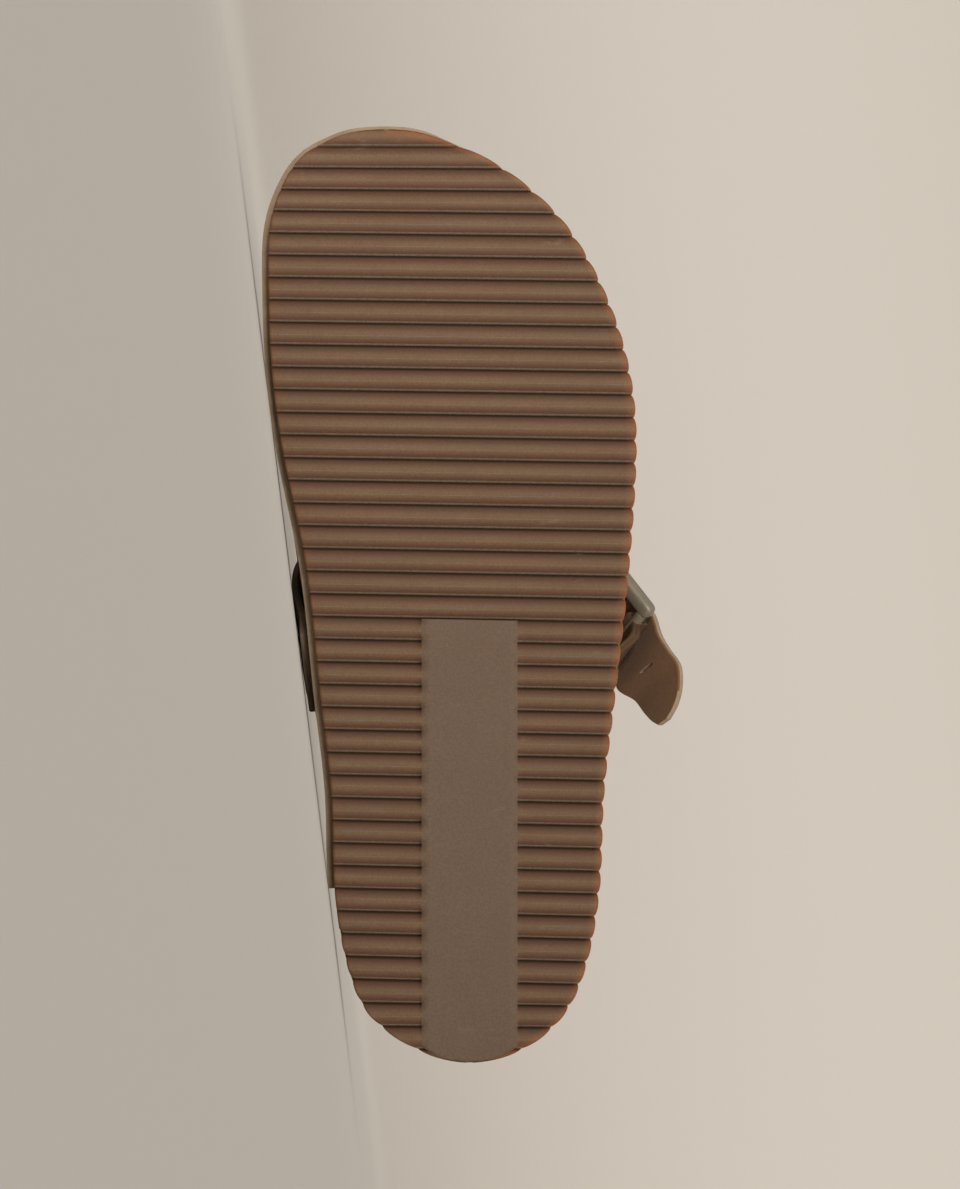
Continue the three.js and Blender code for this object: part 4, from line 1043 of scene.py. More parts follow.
def build_midsole():
    across = np.sin(np.linspace(-1, 1, 41) * math.pi / 2)
    soften = [(0.0, 1.0), (0.15, 0.5), (0.5, 0.15), (1.0, 0.0)]
    rings = []
    for x in footbed_stations(150):
        sole = float(ground_lift(x)) + OUTSOLE_THICKNESS + SEAT_GAP
        top = float(rim_height(x))
        sides = {}
        for sign in (-1, 1):
            reach = float(footbed_edge(x, sign))
            half = min(0.8, 0.2 * abs(float(footbed_edge(x, 1) - footbed_edge(x, -1))))
            wall = [(x, reach, sole + (top - 1 - sole) * share) for share in (0, 0.33, 0.66)]
            rim = [(x, reach - sign * inset * half, top - drop) for inset, drop in soften]
            sides[sign] = wall + rim
        bed = bed_points(x, across, 0.0).tolist()
        rings.append(sides[-1] + bed + sides[1][::-1])
    piece = loft("cork_footbed", rings)
    piece.data.materials.append(cork_material())
    return finished(piece, "cork", "midsole")


def build_insole(looks):
    across = np.sin(np.linspace(-1, 1, 35) * math.pi / 2) * 0.93
    rings = []
    for x in footbed_stations(150):
        tip = min(x, SOLE_LENGTH - x)
        if tip < RIM_WIDTH + RIM_MARGIN:
            continue
        lower = bed_points(x, across, SEAT_GAP)
        upper = bed_points(x, across, SEAT_GAP + SOCK_THICKNESS)
        upper[[0, -1], 2] -= 0.5
        rings.append(np.concatenate([lower, upper[::-1]]))
    piece = loft("suede_sock", rings)
    material = suede_material("Sock suede", tuple(looks.sock), srgb(158, 136, 110), nap=0.0004)
    piece.data.materials.append(material)
    return finished(piece, "sock_suede", "insole")


# Upper

STATIONS = 190
ROWS = 56
FOOT_SHARE = 0.25


def collar_turn(angle, side):
    """Where each section of the upper ends at the collar; 0 in front of the throat."""

    def above(turn):
        point = skin(angle, side, turn)
        return point[..., 2] > collar_share(point[..., 0] / SOLE_LENGTH) * INSTEP_HEIGHT

    low = np.zeros_like(angle)
    high = np.full_like(angle, 2.0)
    for _ in range(30):
        middle = (low + high) / 2
        too_high = above(middle)
        low = np.where(too_high, middle, low)
        high = np.where(too_high, high, middle)
    return np.where(above(np.zeros_like(angle)), (low + high) / 2, 0)


def crease_depth(points, turn):
    """How far the creases press the skin in; each has a low ridge along both sides."""
    depth = np.zeros(points.shape[:-1])
    for row in CREASES:
        through = (turn - row["start"]) / (row["end"] - row["start"])
        middle = (row["at"] + row["lean"] * through) * SOLE_LENGTH
        away = np.abs(points[..., 0] - middle) / row["width"]
        fade = np.clip(np.sin(math.pi * np.clip(through, 0, 1)) * 1.6, 0, 1)
        trough = np.exp(-(away**2)) - 0.45 * np.exp(-((away - 1.9) ** 2))
        depth += row["depth"] * fade * trough
    return depth


def sheet_normals(points, centre):
    normal = unit(np.cross(np.gradient(points, axis=0), np.gradient(points, axis=1)) + 1e-12)
    outwards = np.sign(np.sum(normal * (points - centre), axis=-1, keepdims=True))
    return normal * outwards


def upper_side(side):
    first = float(angle_at(np.array(UPPER_END * SOLE_LENGTH), side))
    angle = np.linspace(first, math.pi, STATIONS)
    end = collar_turn(angle, side)
    reach = np.where(end > 1, (2 - end) * FOOT_SHARE, FOOT_SHARE + (1 - FOOT_SHARE) * (1 - end))
    share = np.linspace(0, 1, ROWS)[:, None] * reach
    past = (share - FOOT_SHARE) / (1 - FOOT_SHARE)
    turn = np.where(share < FOOT_SHARE, 2 - share / FOOT_SHARE, 1 - past)
    points = skin(angle, side, turn)
    centre = np.stack([points[..., 0], np.zeros_like(turn), np.full_like(turn, FOOTBED_HEEL)], axis=-1)
    pressed = crease_depth(points, side * turn) * np.clip(turn * 6, 0, 1)
    return points - sheet_normals(points, centre) * pressed[..., None]


def face_outwards(piece, inside):
    """Turns an open sheet's faces so that they point away from a point inside it."""
    work = bmesh.new()
    work.from_mesh(piece.data)
    outwards = sum(f.normal.dot(f.calc_center_median() - inside) * f.calc_area() for f in work.faces)
    if outwards < 0:
        bmesh.ops.reverse_faces(work, faces=work.faces)
    work.to_mesh(piece.data)
    work.free()


def build_upper(looks):
    sheets = [upper_side(side) for side in (-1, 1)]
    points = np.concatenate([sheet.reshape(-1, 3) for sheet in sheets])
    faces = grid_faces(ROWS, STATIONS)
    shift = ROWS * STATIONS
    faces = faces + [tuple(index + shift for index in face) for face in faces]
    piece = make_object("suede_upper", points, faces)
    tidy_mesh(piece, 2e-5)
    face_outwards(piece, Vector(to_floor([SOLE_LENGTH * 0.6, 0, FOOTBED_HEEL])))
    dark, light = tuple(looks.suede_dark), tuple(looks.suede_light)
    piece.data.materials.append(suede_material("Upper suede", dark, light))
    piece.data.materials.append(suede_material("Upper inside", srgb(104, 82, 62), srgb(132, 106, 82)))
    piece.data.materials.append(cut_edge_material())
    wall = piece.modifiers.new("Wall", "SOLIDIFY")
    wall.thickness = UPPER_WALL / 1000
    wall.offset = -1
    wall.use_even_offset = True
    wall.use_quality_normals = True
    wall.material_offset = 1
    wall.material_offset_rim = 2
    rounded = piece.modifiers.new("Rounded edge", "BEVEL")
    rounded.width = 0.0005
    rounded.segments = 2
    rounded.limit_method = "ANGLE"
    rounded.angle_limit = math.radians(55)
    return finished(settle(piece), "suede", "upper")


# Buckle


def buckle_matrix():
    """Frame of the buckle on the outer wall: x to the back along its bars, y up the strap, z out."""
    point, normal = on_upper(BUCKLE_PLACE["at"] * SOLE_LENGTH, BUCKLE_PLACE["turn"])
    strap_line = np.array([1.0, 0.0, 1.0])
    up = unit(strap_line - normal * strap_line.dot(normal))
    back = np.cross(up, normal)
    return np.stack([back, up, normal], axis=1), point


BUCKLE_TURN, BUCKLE_POINT = buckle_matrix()


def on_buckle(points):
    return np.asarray(points, float) @ BUCKLE_TURN.T + BUCKLE_POINT


def tipped(points):
    """The buckle's own plane, tipped so that its far bar lies nearer to the wall."""
    points = np.asarray(points, float)
    c, s = math.cos(-TIP_ANGLE), math.sin(-TIP_ANGLE)
    y = points[..., 1] * c - points[..., 2] * s
    z = points[..., 1] * s + points[..., 2] * c + (HINGE_BAR_LIFT + FAR_BAR_LIFT) / 2
    return np.stack([points[..., 0], y, z], axis=-1)


def rounded_profile(wide, thick, count=20, square=3.0):
    angle = np.arange(count) / count * 2 * math.pi
    c, s = np.cos(angle), np.sin(angle)
    power = 2 / square
    x = np.sign(c) * np.abs(c) ** power * wide / 2
    y = np.sign(s) * np.abs(s) ** power * thick / 2
    return np.stack([x, y], axis=-1)


def swept(path, profile, out, scales):
    """Rings of a profile along a path: its first axis lies across the path, its second along out."""
    path = np.asarray(path, float)
    along = unit(np.gradient(path, axis=0))
    out = np.broadcast_to(np.asarray(out, float), path.shape)
    across = unit(np.cross(along, out))
    lift = np.cross(across, along)
    scales = np.asarray(scales, float)[:, None, None]
    offsets = profile[None, :, 0:1] * across[:, None] + profile[None, :, 1:2] * lift[:, None]
    return path[:, None] + offsets * scales


def blunt(count, ends=(0.35, 0.75, 0.94)):
    """Scales that round off both ends of a sweep."""
    scales = np.ones(count)
    scales[: len(ends)] = ends
    scales[-len(ends) :] = ends[::-1]
    return scales


def joined(name, pieces):
    for piece in pieces:
        piece.select_set(True)
    bpy.context.view_layer.objects.active = pieces[0]
    with bpy.context.temp_override(active_object=pieces[0], selected_editable_objects=pieces):
        bpy.ops.object.join()
    pieces[0].name = name
    pieces[0].data.name = name
    return pieces[0]


def frame_path():
    """Middle line of the three chunky sides, from one end past the hinge bar to the other."""
    half, top, round_off = BUCKLE_WIDTH / 2 - BUCKLE_BAR / 2, BAR_PLACE, BUCKLE_CORNER - BUCKLE_BAR / 2
    foot = -BUCKLE_LENGTH / 2
    ends = [foot, foot + 0.5, foot + 1.3, foot + 2.5]
    arm = ends + list(np.linspace(foot + 4, top - round_off, 8))
    side, back = half - round_off, top - round_off
    turn = np.linspace(0, math.pi / 2, 9)[1:-1]
    corner = [(side + round_off * math.cos(a), back + round_off * math.sin(a), 0) for a in turn]
    right = [(half, y, 0) for y in arm] + corner
    bar = [(x, top, 0) for x in np.linspace(side, -side, 9)]
    left = [(-x, y, z) for x, y, z in right[::-1]]
    return np.array(right + bar + left)


def build_buckle_frame(metal):
    path = frame_path()
    profile = rounded_profile(BUCKLE_BAR, BUCKLE_THICKNESS, 24)
    rings = swept(path, profile, (0, 0, 1), blunt(len(path), (0.45, 0.8, 0.95)))
    sides = loft("buckle_sides", on_buckle(tipped(rings)))
    reach = BUCKLE_WIDTH / 2 - BUCKLE_BAR * 0.5
    bar_path = [(x, -BAR_PLACE, 0) for x in np.linspace(-reach, reach, 12)]
    round_bar = rounded_profile(HINGE_BAR_DIAMETER, HINGE_BAR_DIAMETER, 24, 2.0)
    bar_rings = swept(bar_path, round_bar, (0, 0, 1), np.ones(12))
    bar = loft("hinge_bar", on_buckle(tipped(bar_rings)))
    piece = joined("buckle_sides_and_bar", [sides, bar])
    piece.data.materials.append(metal)
    return finished(piece, "buckle_metal", "buckle_frame")


def pin_ends():
    start = np.array([0, -BAR_PLACE, HINGE_BAR_LIFT + HINGE_BAR_DIAMETER / 2 + PIECE_GAP])
    rest = FAR_BAR_LIFT + BUCKLE_THICKNESS / 2 + PIECE_GAP + PIN_WIDTH / 2
    return start, np.array([0, BAR_PLACE + BUCKLE_BAR * 0.3, rest])


def build_buckle_pin(metal):
    thick = PIN_WIDTH / 2
    radius = HINGE_BAR_DIAMETER / 2 + PIECE_GAP + thick / 2
    start, end = pin_ends()
    start[2] += thick / 2
    arm = [end + (start - end) * share for share in (0, 0.03, 0.08, 0.16, 0.3, 0.5, 0.7, 0.88)]
    around = np.radians(np.linspace(90, 385, 22))
    middle = np.array([0, -BAR_PLACE, HINGE_BAR_LIFT])
    ring = [middle + radius * np.array([0, math.cos(a), math.sin(a)]) for a in around]
    path = np.array([*arm, *ring])
    out = np.where(np.arange(len(path))[:, None] < len(arm), np.array([0, 0, 1.0]), unit(path - middle))
    rings = swept(path, rounded_profile(PIN_WIDTH, thick, 16), out, blunt(len(path), (0.3, 0.7, 0.92)))
    piece = loft("prong", on_buckle(rings))
    piece.data.materials.append(metal)
    return finished(piece, "buckle_metal", "buckle_pin")


# The doubled tab in the buckle's frame: along counts tab lengths below the hinge bar
TAB_TAIL = [
    dict(along=1, on_wall=True, lift=0, lean=0),
    dict(along=0.8, on_wall=True, lift=0, lean=0),
    dict(along=0.6, on_wall=True, lift=0, lean=0),
    dict(along=0.28, on_wall=False, lift=0.46, lean=40),
    dict(along=0.04, on_wall=False, lift=0.93, lean=48),
]


def tab_layer(upper, across):
    """One layer of the tab's tail: rows of its two faces, from its end to the hinge bar."""
    rows = []
    for row in TAB_TAIL:
        y = -BAR_PLACE - row["along"] * TAB_LENGTH
        lift = row["lift"] * HINGE_BAR_LIFT
        base = np.stack([across, np.full_like(across, y), np.full_like(across, lift)], axis=-1)
        if row["on_wall"]:
            foot = PIECE_GAP + (TAB_THICKNESS if upper else 0)
            spots = on_buckle(base)
            heights = (foot, foot + TAB_THICKNESS)
            faces = [lifted_over(spots, np.full(len(spots), height)) for height in heights]
        else:
            angle = math.radians(row["lean"])
            normal = np.array([0, -math.sin(angle), math.cos(angle)])
            low = 0 if upper else -TAB_THICKNESS
            faces = [on_buckle(base + normal * height) for height in (low, low + TAB_THICKNESS)]
        rows.append(faces)
    return rows


def tab_rows(across):
    """The whole strip: up the lower layer, round the hinge bar and down the upper layer."""
    inner = HINGE_BAR_DIAMETER / 2 + PIECE_GAP
    rows = [(low, high) for low, high in tab_layer(False, across)]
    for degrees in np.linspace(-30, 126, 9):
        a = math.radians(degrees)
        faces = []
        for radius in (inner, inner + TAB_THICKNESS):
            y = np.full_like(across, -BAR_PLACE + radius * math.cos(a))
            z = np.full_like(across, HINGE_BAR_LIFT + radius * math.sin(a))
            faces.append(on_buckle(np.stack([across, y, z], axis=-1)))
        rows.append((faces[1], faces[0]))
    rows += [(high, low) for low, high in tab_layer(True, across)[::-1]]
    return rows


def strip_rings(lower, upper, round_off=0.3):
    """Rings round a strip from its two faces, with softened edges."""
    middle = (lower + upper) / 2
    half = (upper - lower) / 2
    rings = []
    for low, high, mid, h in zip(lower, upper, middle, half):
        first = mid[0] + (mid[0] - mid[1]) / np.linalg.norm(mid[0] - mid[1]) * round_off
        last = mid[-1] + (mid[-1] - mid[-2]) / np.linalg.norm(mid[-1] - mid[-2]) * round_off
        start_edge = [first + h[0] * 0.5, first - h[0] * 0.5]
        end_edge = [last - h[-1] * 0.5, last + h[-1] * 0.5]
        rings.append(np.concatenate([low, end_edge, high[::-1], start_edge]))
    return np.array(rings)


def box_object(name, size, place):
    """Box with its place in the buckle's frame, to cut with."""
    corners = np.array([(x, y, z) for x in (-0.5, 0.5) for y in (-0.5, 0.5) for z in (-0.5, 0.5)])
    faces = [(0, 1, 3, 2), (4, 6, 7, 5), (0, 4, 5, 1), (2, 3, 7, 6), (0, 2, 6, 4), (1, 5, 7, 3)]
    return make_object(name, on_buckle(corners * size + place), faces)


def build_buckle_tab(suede):
    across = np.linspace(-TAB_WIDTH / 2 + 0.3, TAB_WIDTH / 2 - 0.3, 15)
    rows = tab_rows(across)
    lower = smoothed([low for low, _ in rows], 4)
    upper = smoothed([high for _, high in rows], 4)
    piece = loft("suede_tab", strip_rings(lower, upper))
    outer = HINGE_BAR_DIAMETER / 2 + PIECE_GAP + TAB_THICKNESS
    size = np.array([TAB_SLOT, 2.4 * outer, 3 * outer])
    cut_away(piece, [box_object("slot", size, np.array([0, -BAR_PLACE + 0.2 * outer, HINGE_BAR_LIFT]))])
    piece.data.materials.clear()
    piece.data.materials.append(suede)
    return finished(piece, "suede", "buckle_tab")


# Strap


def strap_lines():
    """Cross lines of the strap: middle, half its width, way out of its face, and if worn."""
    path_x = np.array([row["at"] for row in STRAP_PATH]) * SOLE_LENGTH
    points, normals = on_upper(path_x, np.array([row["turn"] for row in STRAP_PATH]))
    lines = []
    for i, (point, normal) in enumerate(zip(points, normals)):
        along = points[min(i + 1, len(points) - 1)] - points[max(i - 1, 0)]
        half = unit(np.cross(along, normal)) * STRAP_WIDTH / 2
        lines.append((point, half, normal, True))
    back, up, out = BUCKLE_TURN.T
    for row in STRAP_IN_BUCKLE:
        height = PIECE_GAP + (STRAP_OVER_BAR - PIECE_GAP) * row["over"]
        middle = on_buckle((0, row["along"] * BAR_PLACE, height))
        lines.append((middle, back * -STRAP_WIDTH / 2, unit(out + up * row["tip"]), False))
    bar = on_buckle((0, -BAR_PLACE, STRAP_OVER_BAR))
    heading = unit(np.array([-0.85, 0.3, -0.4]))
    for row in FREE_END:
        middle = bar + np.array([-row["back"], row["out"], -row["down"]]) * STRAP_WIDTH
        lean = math.radians(row["lean"])
        half = np.array([0, math.sin(lean), -math.cos(lean)])
        half = unit(half - heading * half.dot(heading)) * row["wide"] * STRAP_WIDTH / 2
        lines.append((middle, half, unit(np.cross(half, heading)), False))
    return lines


def strap_faces(across):
    """Rows of the strap's two faces at shares of its half width."""
    lower = []
    upper = []
    for middle, half, out, worn in strap_lines():
        spots = middle + np.outer(across, half)
        if worn:
            lower.append(lifted_over(spots, np.full(len(spots), PIECE_GAP)))
            upper.append(lifted_over(spots, np.full(len(spots), PIECE_GAP + STRAP_THICKNESS)))
        else:
            lower.append(spots)
            upper.append(spots + out * STRAP_THICKNESS)
    return np.array(lower), np.array(upper)


def pressed_seats(upper):
    """Presses a round seat for each rivet into the strap's outer face."""
    for rivet in RIVETS:
        centre, normal = on_upper(rivet["at"] * SOLE_LENGTH, rivet["turn"])
        centre = centre + normal * (PIECE_GAP + STRAP_THICKNESS)
        away = np.linalg.norm(upper - centre, axis=-1)
        near = np.clip((away - RIVET_DIAMETER / 2 - 0.2) / 0.9, 0, 1)
        depth = RIVET_SINK * (1 - near * near * (3 - 2 * near))
        upper -= normal * depth[..., None]
    return upper


def slit_cutter(lower, upper):
    """Narrow slot through the free end, where the pin would go one size wider."""
    row, spot = SLIT["row"], SLIT["spot"]
    low, high = lower[row, spot], upper[row, spot]
    out = unit(high - low)
    across = unit(lower[row, spot + 1] - lower[row, spot - 1])
    along = np.cross(out, across)
    turn = math.radians(SLIT["turn"])
    line = along * math.cos(turn) + across * math.sin(turn)
    path = [low - out * 3, (low + high) / 2, high + out * 3]
    profile = rounded_profile(SLIT["long"], SLIT["wide"], 16, 3.0)
    return loft("slit", swept(path, profile, line, np.ones(3)))


def build_strap(suede, flesh, cut_edge):
    across = np.sin(np.linspace(-1, 1, 41) * math.pi / 2 * 0.96) / math.sin(math.pi / 2 * 0.96)
    lower, upper = strap_faces(across * (1 - 0.6 / STRAP_WIDTH))
    lower, upper = smoothed(lower, 9), smoothed(upper, 9)
    upper = pressed_seats(upper)
    piece = loft("instep_strap", strip_rings(lower, upper, 0.35))
    start, end = pin_ends()
    round_hole = rounded_profile(PIN_WIDTH + 1.6, PIN_WIDTH + 1.6, 16, 2.0)
    hole = swept([start, (start + end) / 2, end], round_hole, (0, 0, 1), np.ones(3))
    cut_away(piece, [loft("pin_hole", on_buckle(hole)), slit_cutter(lower, upper)])
    piece.data.materials.clear()
    for material in (suede, flesh, cut_edge):
        piece.data.materials.append(material)
    paint_strap(piece, lower, upper)
    return finished(piece, "suede", "strap")


def paint_strap(piece, lower, upper):
    """Suede on the outer face, flesh on the face towards the foot, a cut edge all round."""
    tree_points = np.concatenate([lower.reshape(-1, 3), upper.reshape(-1, 3)])
    spots = to_floor(tree_points)
    facing = unit((upper - lower).reshape(-1, 3))
    facing = turned(np.concatenate([facing, facing]))
    tree = KDTree(len(spots))
    for i, spot in enumerate(spots):
        tree.insert(spot, i)
    tree.balance()
    for face in piece.data.polygons:
        _, i, _ = tree.find(face.center)
        match = face.normal.dot(Vector(facing[i]))
        face.material_index = 0 if match > 0.5 else 1 if match < -0.5 else 2


def build_rivets(metal):
    """Domed rivet heads, sunk in their seats in the strap."""
    foot_and_side = [(0.02, 0), (1, 0), (1, 0.4), (0.95, 0.62)]
    profile = foot_and_side + [(0.84, 0.8), (0.6, 0.93), (0.3, 0.99), (0.02, 1)]
    around = np.arange(28) / 28 * 2 * math.pi
    made = []
    for rivet in RIVETS:
        point, normal = on_upper(rivet["at"] * SOLE_LENGTH, rivet["turn"])
        across = unit(np.cross(normal, (1, 0, 0)))
        other = np.cross(normal, across)
        foot = PIECE_GAP + STRAP_THICKNESS - RIVET_SINK + SEAT_GAP
        rings = []
        for radius, height in profile:
            circle = np.outer(np.cos(around), across) + np.outer(np.sin(around), other)
            middle = point + normal * (foot + RIVET_HEAD * height)
            rings.append(middle + circle * radius * RIVET_DIAMETER / 2)
        piece = loft(rivet["name"] + "_head", rings)
        piece.data.materials.append(metal)
        made.append(finished(piece, "rivet_metal", rivet["name"]))
    return made


# Stitches on the tab


def stitches_tree(material):
    """Lays short twisted stitches along the edges of a line."""
    inputs = {"Pitch": "Float", "Stitch length": "Float", "Thread": "Float"}
    net, given, identifiers = geometry_tree("Stitches", inputs)
    curve = net.node("GeometryNodeMeshToCurve", {"Mesh": given["Geometry"]}).outputs[0]
    even = net.node("GeometryNodeCurveToPoints", {"Curve": curve, "Length": given["Pitch"]}, mode="LENGTH")
    ball = net.node("GeometryNodeMeshUVSphere", {"Segments": 8, "Rings": 6, "Radius": 0.5})
    along = net.node("FunctionNodeAlignRotationToVector", {"Vector": even.outputs["Tangent"]}, axis="X")
    lengths = {0: given["Stitch length"], 1: given["Thread"], 2: given["Thread"]}
    thread = net.node("ShaderNodeCombineXYZ", lengths)
    inputs = {
        "Points": even.outputs["Points"],
        "Instance": ball.outputs["Mesh"],
        "Rotation": along.outputs[0],
        "Scale": thread.outputs[0],
    }
    laid = net.node("GeometryNodeInstanceOnPoints", inputs)
    end_tree(net, laid.outputs[0], material)
    return net.tree, identifiers


def build_stitches(sizes):
    """A row of stitches along both sides and the end of the tab's tail."""
    half = TAB_WIDTH / 2 - 2.2
    near, far = -BAR_PLACE - 0.62 * TAB_LENGTH, -BAR_PLACE - 0.9 * TAB_LENGTH
    corners = [(-half, near), (-half, far), (half, far), (half, near)]
    line = []
    for (x0, y0), (x1, y1) in zip(corners, corners[1:]):
        for share in np.linspace(0, 1, 12, endpoint=False):
            line.append((x0 + (x1 - x0) * share, y0 + (y1 - y0) * share, 0))
    line.append((*corners[-1], 0))
    spots = on_buckle(line)
    height = PIECE_GAP + 2 * TAB_THICKNESS + 0.1
    points = to_floor(lifted_over(spots, np.full(len(spots), height)))
    mesh = bpy.data.meshes.new("tab_stitches")
    mesh.from_pydata(points.tolist(), [(i, i + 1) for i in range(len(points) - 1)], [])
    piece = bpy.data.objects.new("tab_stitches", mesh)
    bpy.context.scene.collection.objects.link(piece)
    tree, identifiers = stitches_tree(thread_material())
    values = {
        "Pitch": sizes.stitch_pitch,
        "Stitch length": sizes.stitch_pitch * 0.78,
        "Thread": sizes.thread,
    }
    return finished(worked(piece, tree, identifiers, values), "suede")


# Stage

FLOOR_REACH = 6.0
BACKDROP_START = 0.12
BACKDROP_EASE = 1.0
BACKDROP_HEIGHT = 4.0


def build_stage(looks):
    """Pale ground that steepens evenly with its height into an upright backdrop."""
    rows = [(-FLOOR_REACH, 0.0), (-0.5, 0.0), (BACKDROP_START, 0.0)]
    y = BACKDROP_START
    heights = np.geomspace(0.002, BACKDROP_EASE, 60)
    for low, high in zip(heights, heights[1:]):
        y += (high - low) / math.tan((low + high) / 2 / BACKDROP_EASE * math.pi / 2)
        rows.append((y, high))
    rows.append((y, BACKDROP_HEIGHT))
    mesh = bpy.data.meshes.new("pale_ground")
    points = [(x, y, z) for y, z in rows for x in (-FLOOR_REACH, FLOOR_REACH)]
    mesh.from_pydata(points, [], grid_faces(len(rows), 2))
    ground = bpy.data.objects.new("pale_ground", mesh)
    bpy.context.scene.collection.objects.link(ground)
    tidy_mesh(ground)
    face_outwards(ground, Vector((0, 3.0, -1.0)))
    ground.data.materials.append(stage_material(looks))


def aimed_light(name, kind, place, target, power, colour, **settings):
    light = bpy.data.lights.new(name, kind)
    light.energy = power
    light.color = colour
    for label, value in settings.items():
        setattr(light, label, value)
    lamp = bpy.data.objects.new(name, light)
    bpy.context.scene.collection.objects.link(lamp)
    lamp.location = place
    lamp.rotation_euler = (Vector(target) - Vector(place)).to_track_quat("-Z", "Y").to_euler()


def build_lights():
    """An even soft key from the front, a wide spot on the toe's end, a weak lamp over the floor
    behind the shoe, and a warm room around."""
    white = (1.0, 0.985, 0.965)
    aimed_light("soft_key", "SUN", (0.5, -3.0, 1.1), (0, 0, 0), 1.5, white, angle=math.radians(35))
    aimed_light(
        "toe_light", "SPOT", (-1.2, -3.0, 0.5), (-0.25, 0, 0.08), 340, white,
        spot_size=math.radians(15), spot_blend=1.0, shadow_soft_size=0.3,
    )
    aimed_light("back_fill", "AREA", (0.0, 0.9, 0.65), (0.03, 0.05, 0), 0.35, white, size=0.3)
    world = bpy.data.worlds.new("Pale room")
    world.use_nodes = True
    background = world.node_tree.nodes["Background"]
    background.inputs["Color"].default_value = (1.0, 0.95, 0.9, 1.0)
    background.inputs["Strength"].default_value = 0.5
    bpy.context.scene.world = world
    bpy.context.scene.view_settings.view_transform = "Standard"


# The camera looks square at the tread, heel down, from just over the floor
CAMERA_PLACE = (135.0, -9.0, -1000.0)
CAMERA_TARGET = (135.0, 3.0, 0.0)
FRAME_HEIGHT = 342.0
SENSOR_HEIGHT = 24.0


def build_camera():
    place = Vector(to_floor(CAMERA_PLACE))
    looking = (Vector(to_floor(CAMERA_TARGET)) - place).normalized()
    up = (HEEL_TO_TOE - looking * HEEL_TO_TOE.dot(looking)).normalized()
    right = looking.cross(up)
    data = bpy.data.cameras.new("camera")
    data.sensor_fit = "VERTICAL"
    data.sensor_height = SENSOR_HEIGHT
    data.lens = SENSOR_HEIGHT * 1000 / FRAME_HEIGHT
    data.clip_start = 0.002
    camera = bpy.data.objects.new("camera", data)
    bpy.context.scene.collection.objects.link(camera)
    turn = Matrix((right, up, -looking)).transposed()
    camera.matrix_world = Matrix.Translation(place) @ turn.to_4x4()
    bpy.context.scene.camera = camera


# Settings, operators and panel


class ClogSizes(bpy.types.PropertyGroup):
    """Sizes of the clog's fine detail."""

    rib_depth: bpy.props.FloatProperty(
        name="Rib depth", description="Depth of the troughs in the tread",
        default=0.0022, min=0.0, max=0.003, unit="LENGTH", precision=4,
    )
    rib_roundness: bpy.props.FloatProperty(
        name="Rib roundness", description="2 makes half-round ribs, more makes their crests flatter",
        default=2.1, min=1.2, max=6.0,
    )
    scallop: bpy.props.FloatProperty(
        name="Scallop", description="How far the sole's edge is drawn in between two ribs",
        default=0.0009, min=0.0, max=0.002, unit="LENGTH", precision=4,
    )
    stitch_pitch: bpy.props.FloatProperty(
        name="Stitch pitch", description="Distance between two stitches on the tab",
        default=0.0024, min=0.001, max=0.006, unit="LENGTH", precision=4,
    )
    thread: bpy.props.FloatProperty(
        name="Thread", description="Thickness of the thread",
        default=0.0006, min=0.0002, max=0.0015, unit="LENGTH", precision=4,
    )


def colour_setting(name, description, red, green, blue):
    return bpy.props.FloatVectorProperty(
        name=name, description=description, subtype="COLOR",
        default=srgb(red, green, blue), min=0.0, max=1.0,
    )


class ClogLooks(bpy.types.PropertyGroup):
    """Colours of the clog and its ground."""

    gum: colour_setting("Gum", "Crests of the ribs", 112, 87, 62)
    # Redder than the crests, and darker too as painted shade
    shaded_gum_flank: colour_setting("Gum flank", "Sides of the ribs", 88, 60, 43)
    # Painted glow of the thin rim, standing in for light that comes through the rubber
    painted_rim_glow: colour_setting("Gum rim", "Thin edge of the rubber, where light comes through", 166, 98, 52)
    # Pale line: partly a dusting, partly painted highlight where the trough's floor would catch the light
    dust_and_highlight: colour_setting("Dust and highlight", "Pale line beside each trough", 126, 109, 91)
    panel: colour_setting("Panel", "Smooth panel along the heel", 96, 76, 60)
    suede_dark: colour_setting("Dark suede", "Nap brushed away from the light", 98, 82, 66)
    suede_light: colour_setting("Light suede", "Nap brushed towards the light", 132, 114, 95)
    sock: colour_setting("Sock", "Suede of the footbed", 134, 112, 88)
    metal: colour_setting("Buckle", "Coated metal of the buckle", 112, 103, 86)
    ground: colour_setting("Ground", "Pale ground and backdrop", 212, 206, 197)


class CLOG_OT_outsole(bpy.types.Operator):
    """Build the ribbed gum outsole"""

    bl_idname = "clog.outsole"
    bl_label = "Outsole"

    def execute(self, context):
        build_outsole(context.scene.clog_sizes, context.scene.clog_looks)
        return {"FINISHED"}


class CLOG_OT_footbed(bpy.types.Operator):
    """Build the cork footbed and its suede sock"""

    bl_idname = "clog.footbed"
    bl_label = "Footbed"

    def execute(self, context):
        build_midsole()
        build_insole(context.scene.clog_looks)
        return {"FINISHED"}


class CLOG_OT_upper(bpy.types.Operator):
    """Build the creased suede upper"""

    bl_idname = "clog.upper"
    bl_label = "Upper"

    def execute(self, context):
        build_upper(context.scene.clog_looks)
        return {"FINISHED"}


class CLOG_OT_strap(bpy.types.Operator):
    """Build the instep strap and its rivets"""

    bl_idname = "clog.strap"
    bl_label = "Strap"

    def execute(self, context):
        looks = context.scene.clog_looks
        suede = suede_material("Strap suede", tuple(looks.suede_dark), tuple(looks.suede_light))
        build_strap(suede, flesh_material(), cut_edge_material())
        build_rivets(metal_material("Rivet metal", srgb(52, 44, 36), srgb(84, 72, 58), 0.45, 0.8))
        return {"FINISHED"}


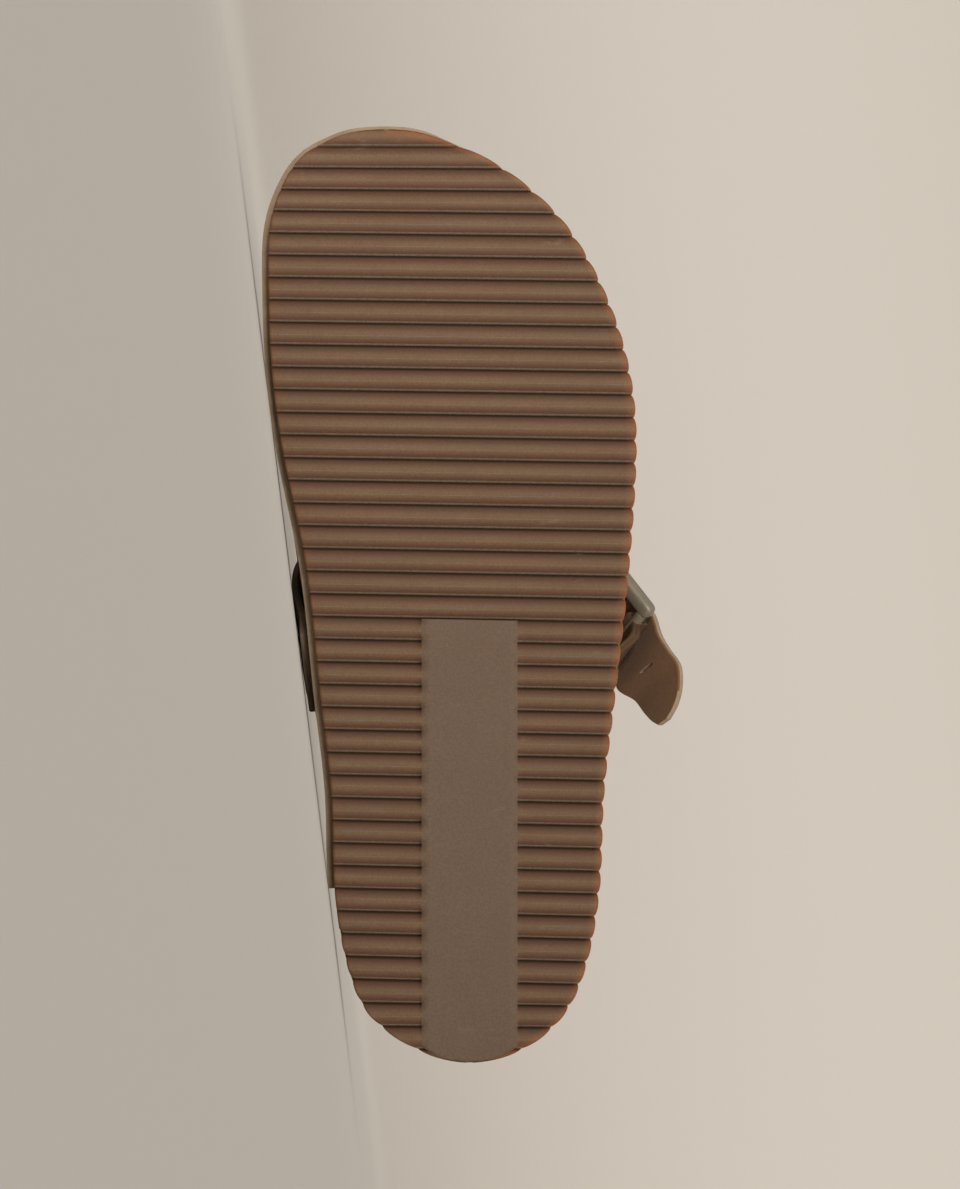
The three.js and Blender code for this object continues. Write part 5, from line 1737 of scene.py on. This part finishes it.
class CLOG_OT_buckle(bpy.types.Operator):
    """Build the buckle, its pin and its stitched tab"""

    bl_idname = "clog.buckle"
    bl_label = "Buckle"

    def execute(self, context):
        colour = tuple(context.scene.clog_looks.metal)
        metal = metal_material("Buckle metal", colour, srgb(150, 140, 120), 0.5, 0.35)
        build_buckle_frame(metal)
        build_buckle_pin(metal)
        build_buckle_tab(suede_material("Tab suede", srgb(70, 50, 35), srgb(98, 74, 53), sheen=0.0))
        build_stitches(context.scene.clog_sizes)
        return {"FINISHED"}


class CLOG_OT_stage(bpy.types.Operator):
    """Build the pale ground, the lights and the camera"""

    bl_idname = "clog.stage"
    bl_label = "Stage"

    def execute(self, context):
        build_stage(context.scene.clog_looks)
        build_lights()
        build_camera()
        return {"FINISHED"}


OPERATORS = (
    CLOG_OT_outsole,
    CLOG_OT_footbed,
    CLOG_OT_upper,
    CLOG_OT_strap,
    CLOG_OT_buckle,
    CLOG_OT_stage,
)


class CLOG_PT_panel(bpy.types.Panel):
    """Sizes, colours and pieces of the clog"""

    bl_label = "Clog"
    bl_idname = "CLOG_PT_panel"
    bl_space_type = "VIEW_3D"
    bl_region_type = "UI"
    bl_category = "Clog"

    def draw(self, context):
        for settings in (context.scene.clog_sizes, context.scene.clog_looks):
            box = self.layout.box()
            for name in settings.__annotations__:
                box.prop(settings, name)
        for operator in OPERATORS:
            self.layout.operator(operator.bl_idname)


CLASSES = (ClogSizes, ClogLooks, *OPERATORS, CLOG_PT_panel)


def register():
    for made in CLASSES:
        bpy.utils.register_class(made)
    bpy.types.Scene.clog_sizes = bpy.props.PointerProperty(type=ClogSizes)
    bpy.types.Scene.clog_looks = bpy.props.PointerProperty(type=ClogLooks)


def unregister():
    del bpy.types.Scene.clog_looks
    del bpy.types.Scene.clog_sizes
    for made in reversed(CLASSES):
        bpy.utils.unregister_class(made)


def main():
    register()
    for operator in OPERATORS:
        family, name = operator.bl_idname.split(".")
        getattr(getattr(bpy.ops, family), name)()


if __name__ == "__main__":
    main()
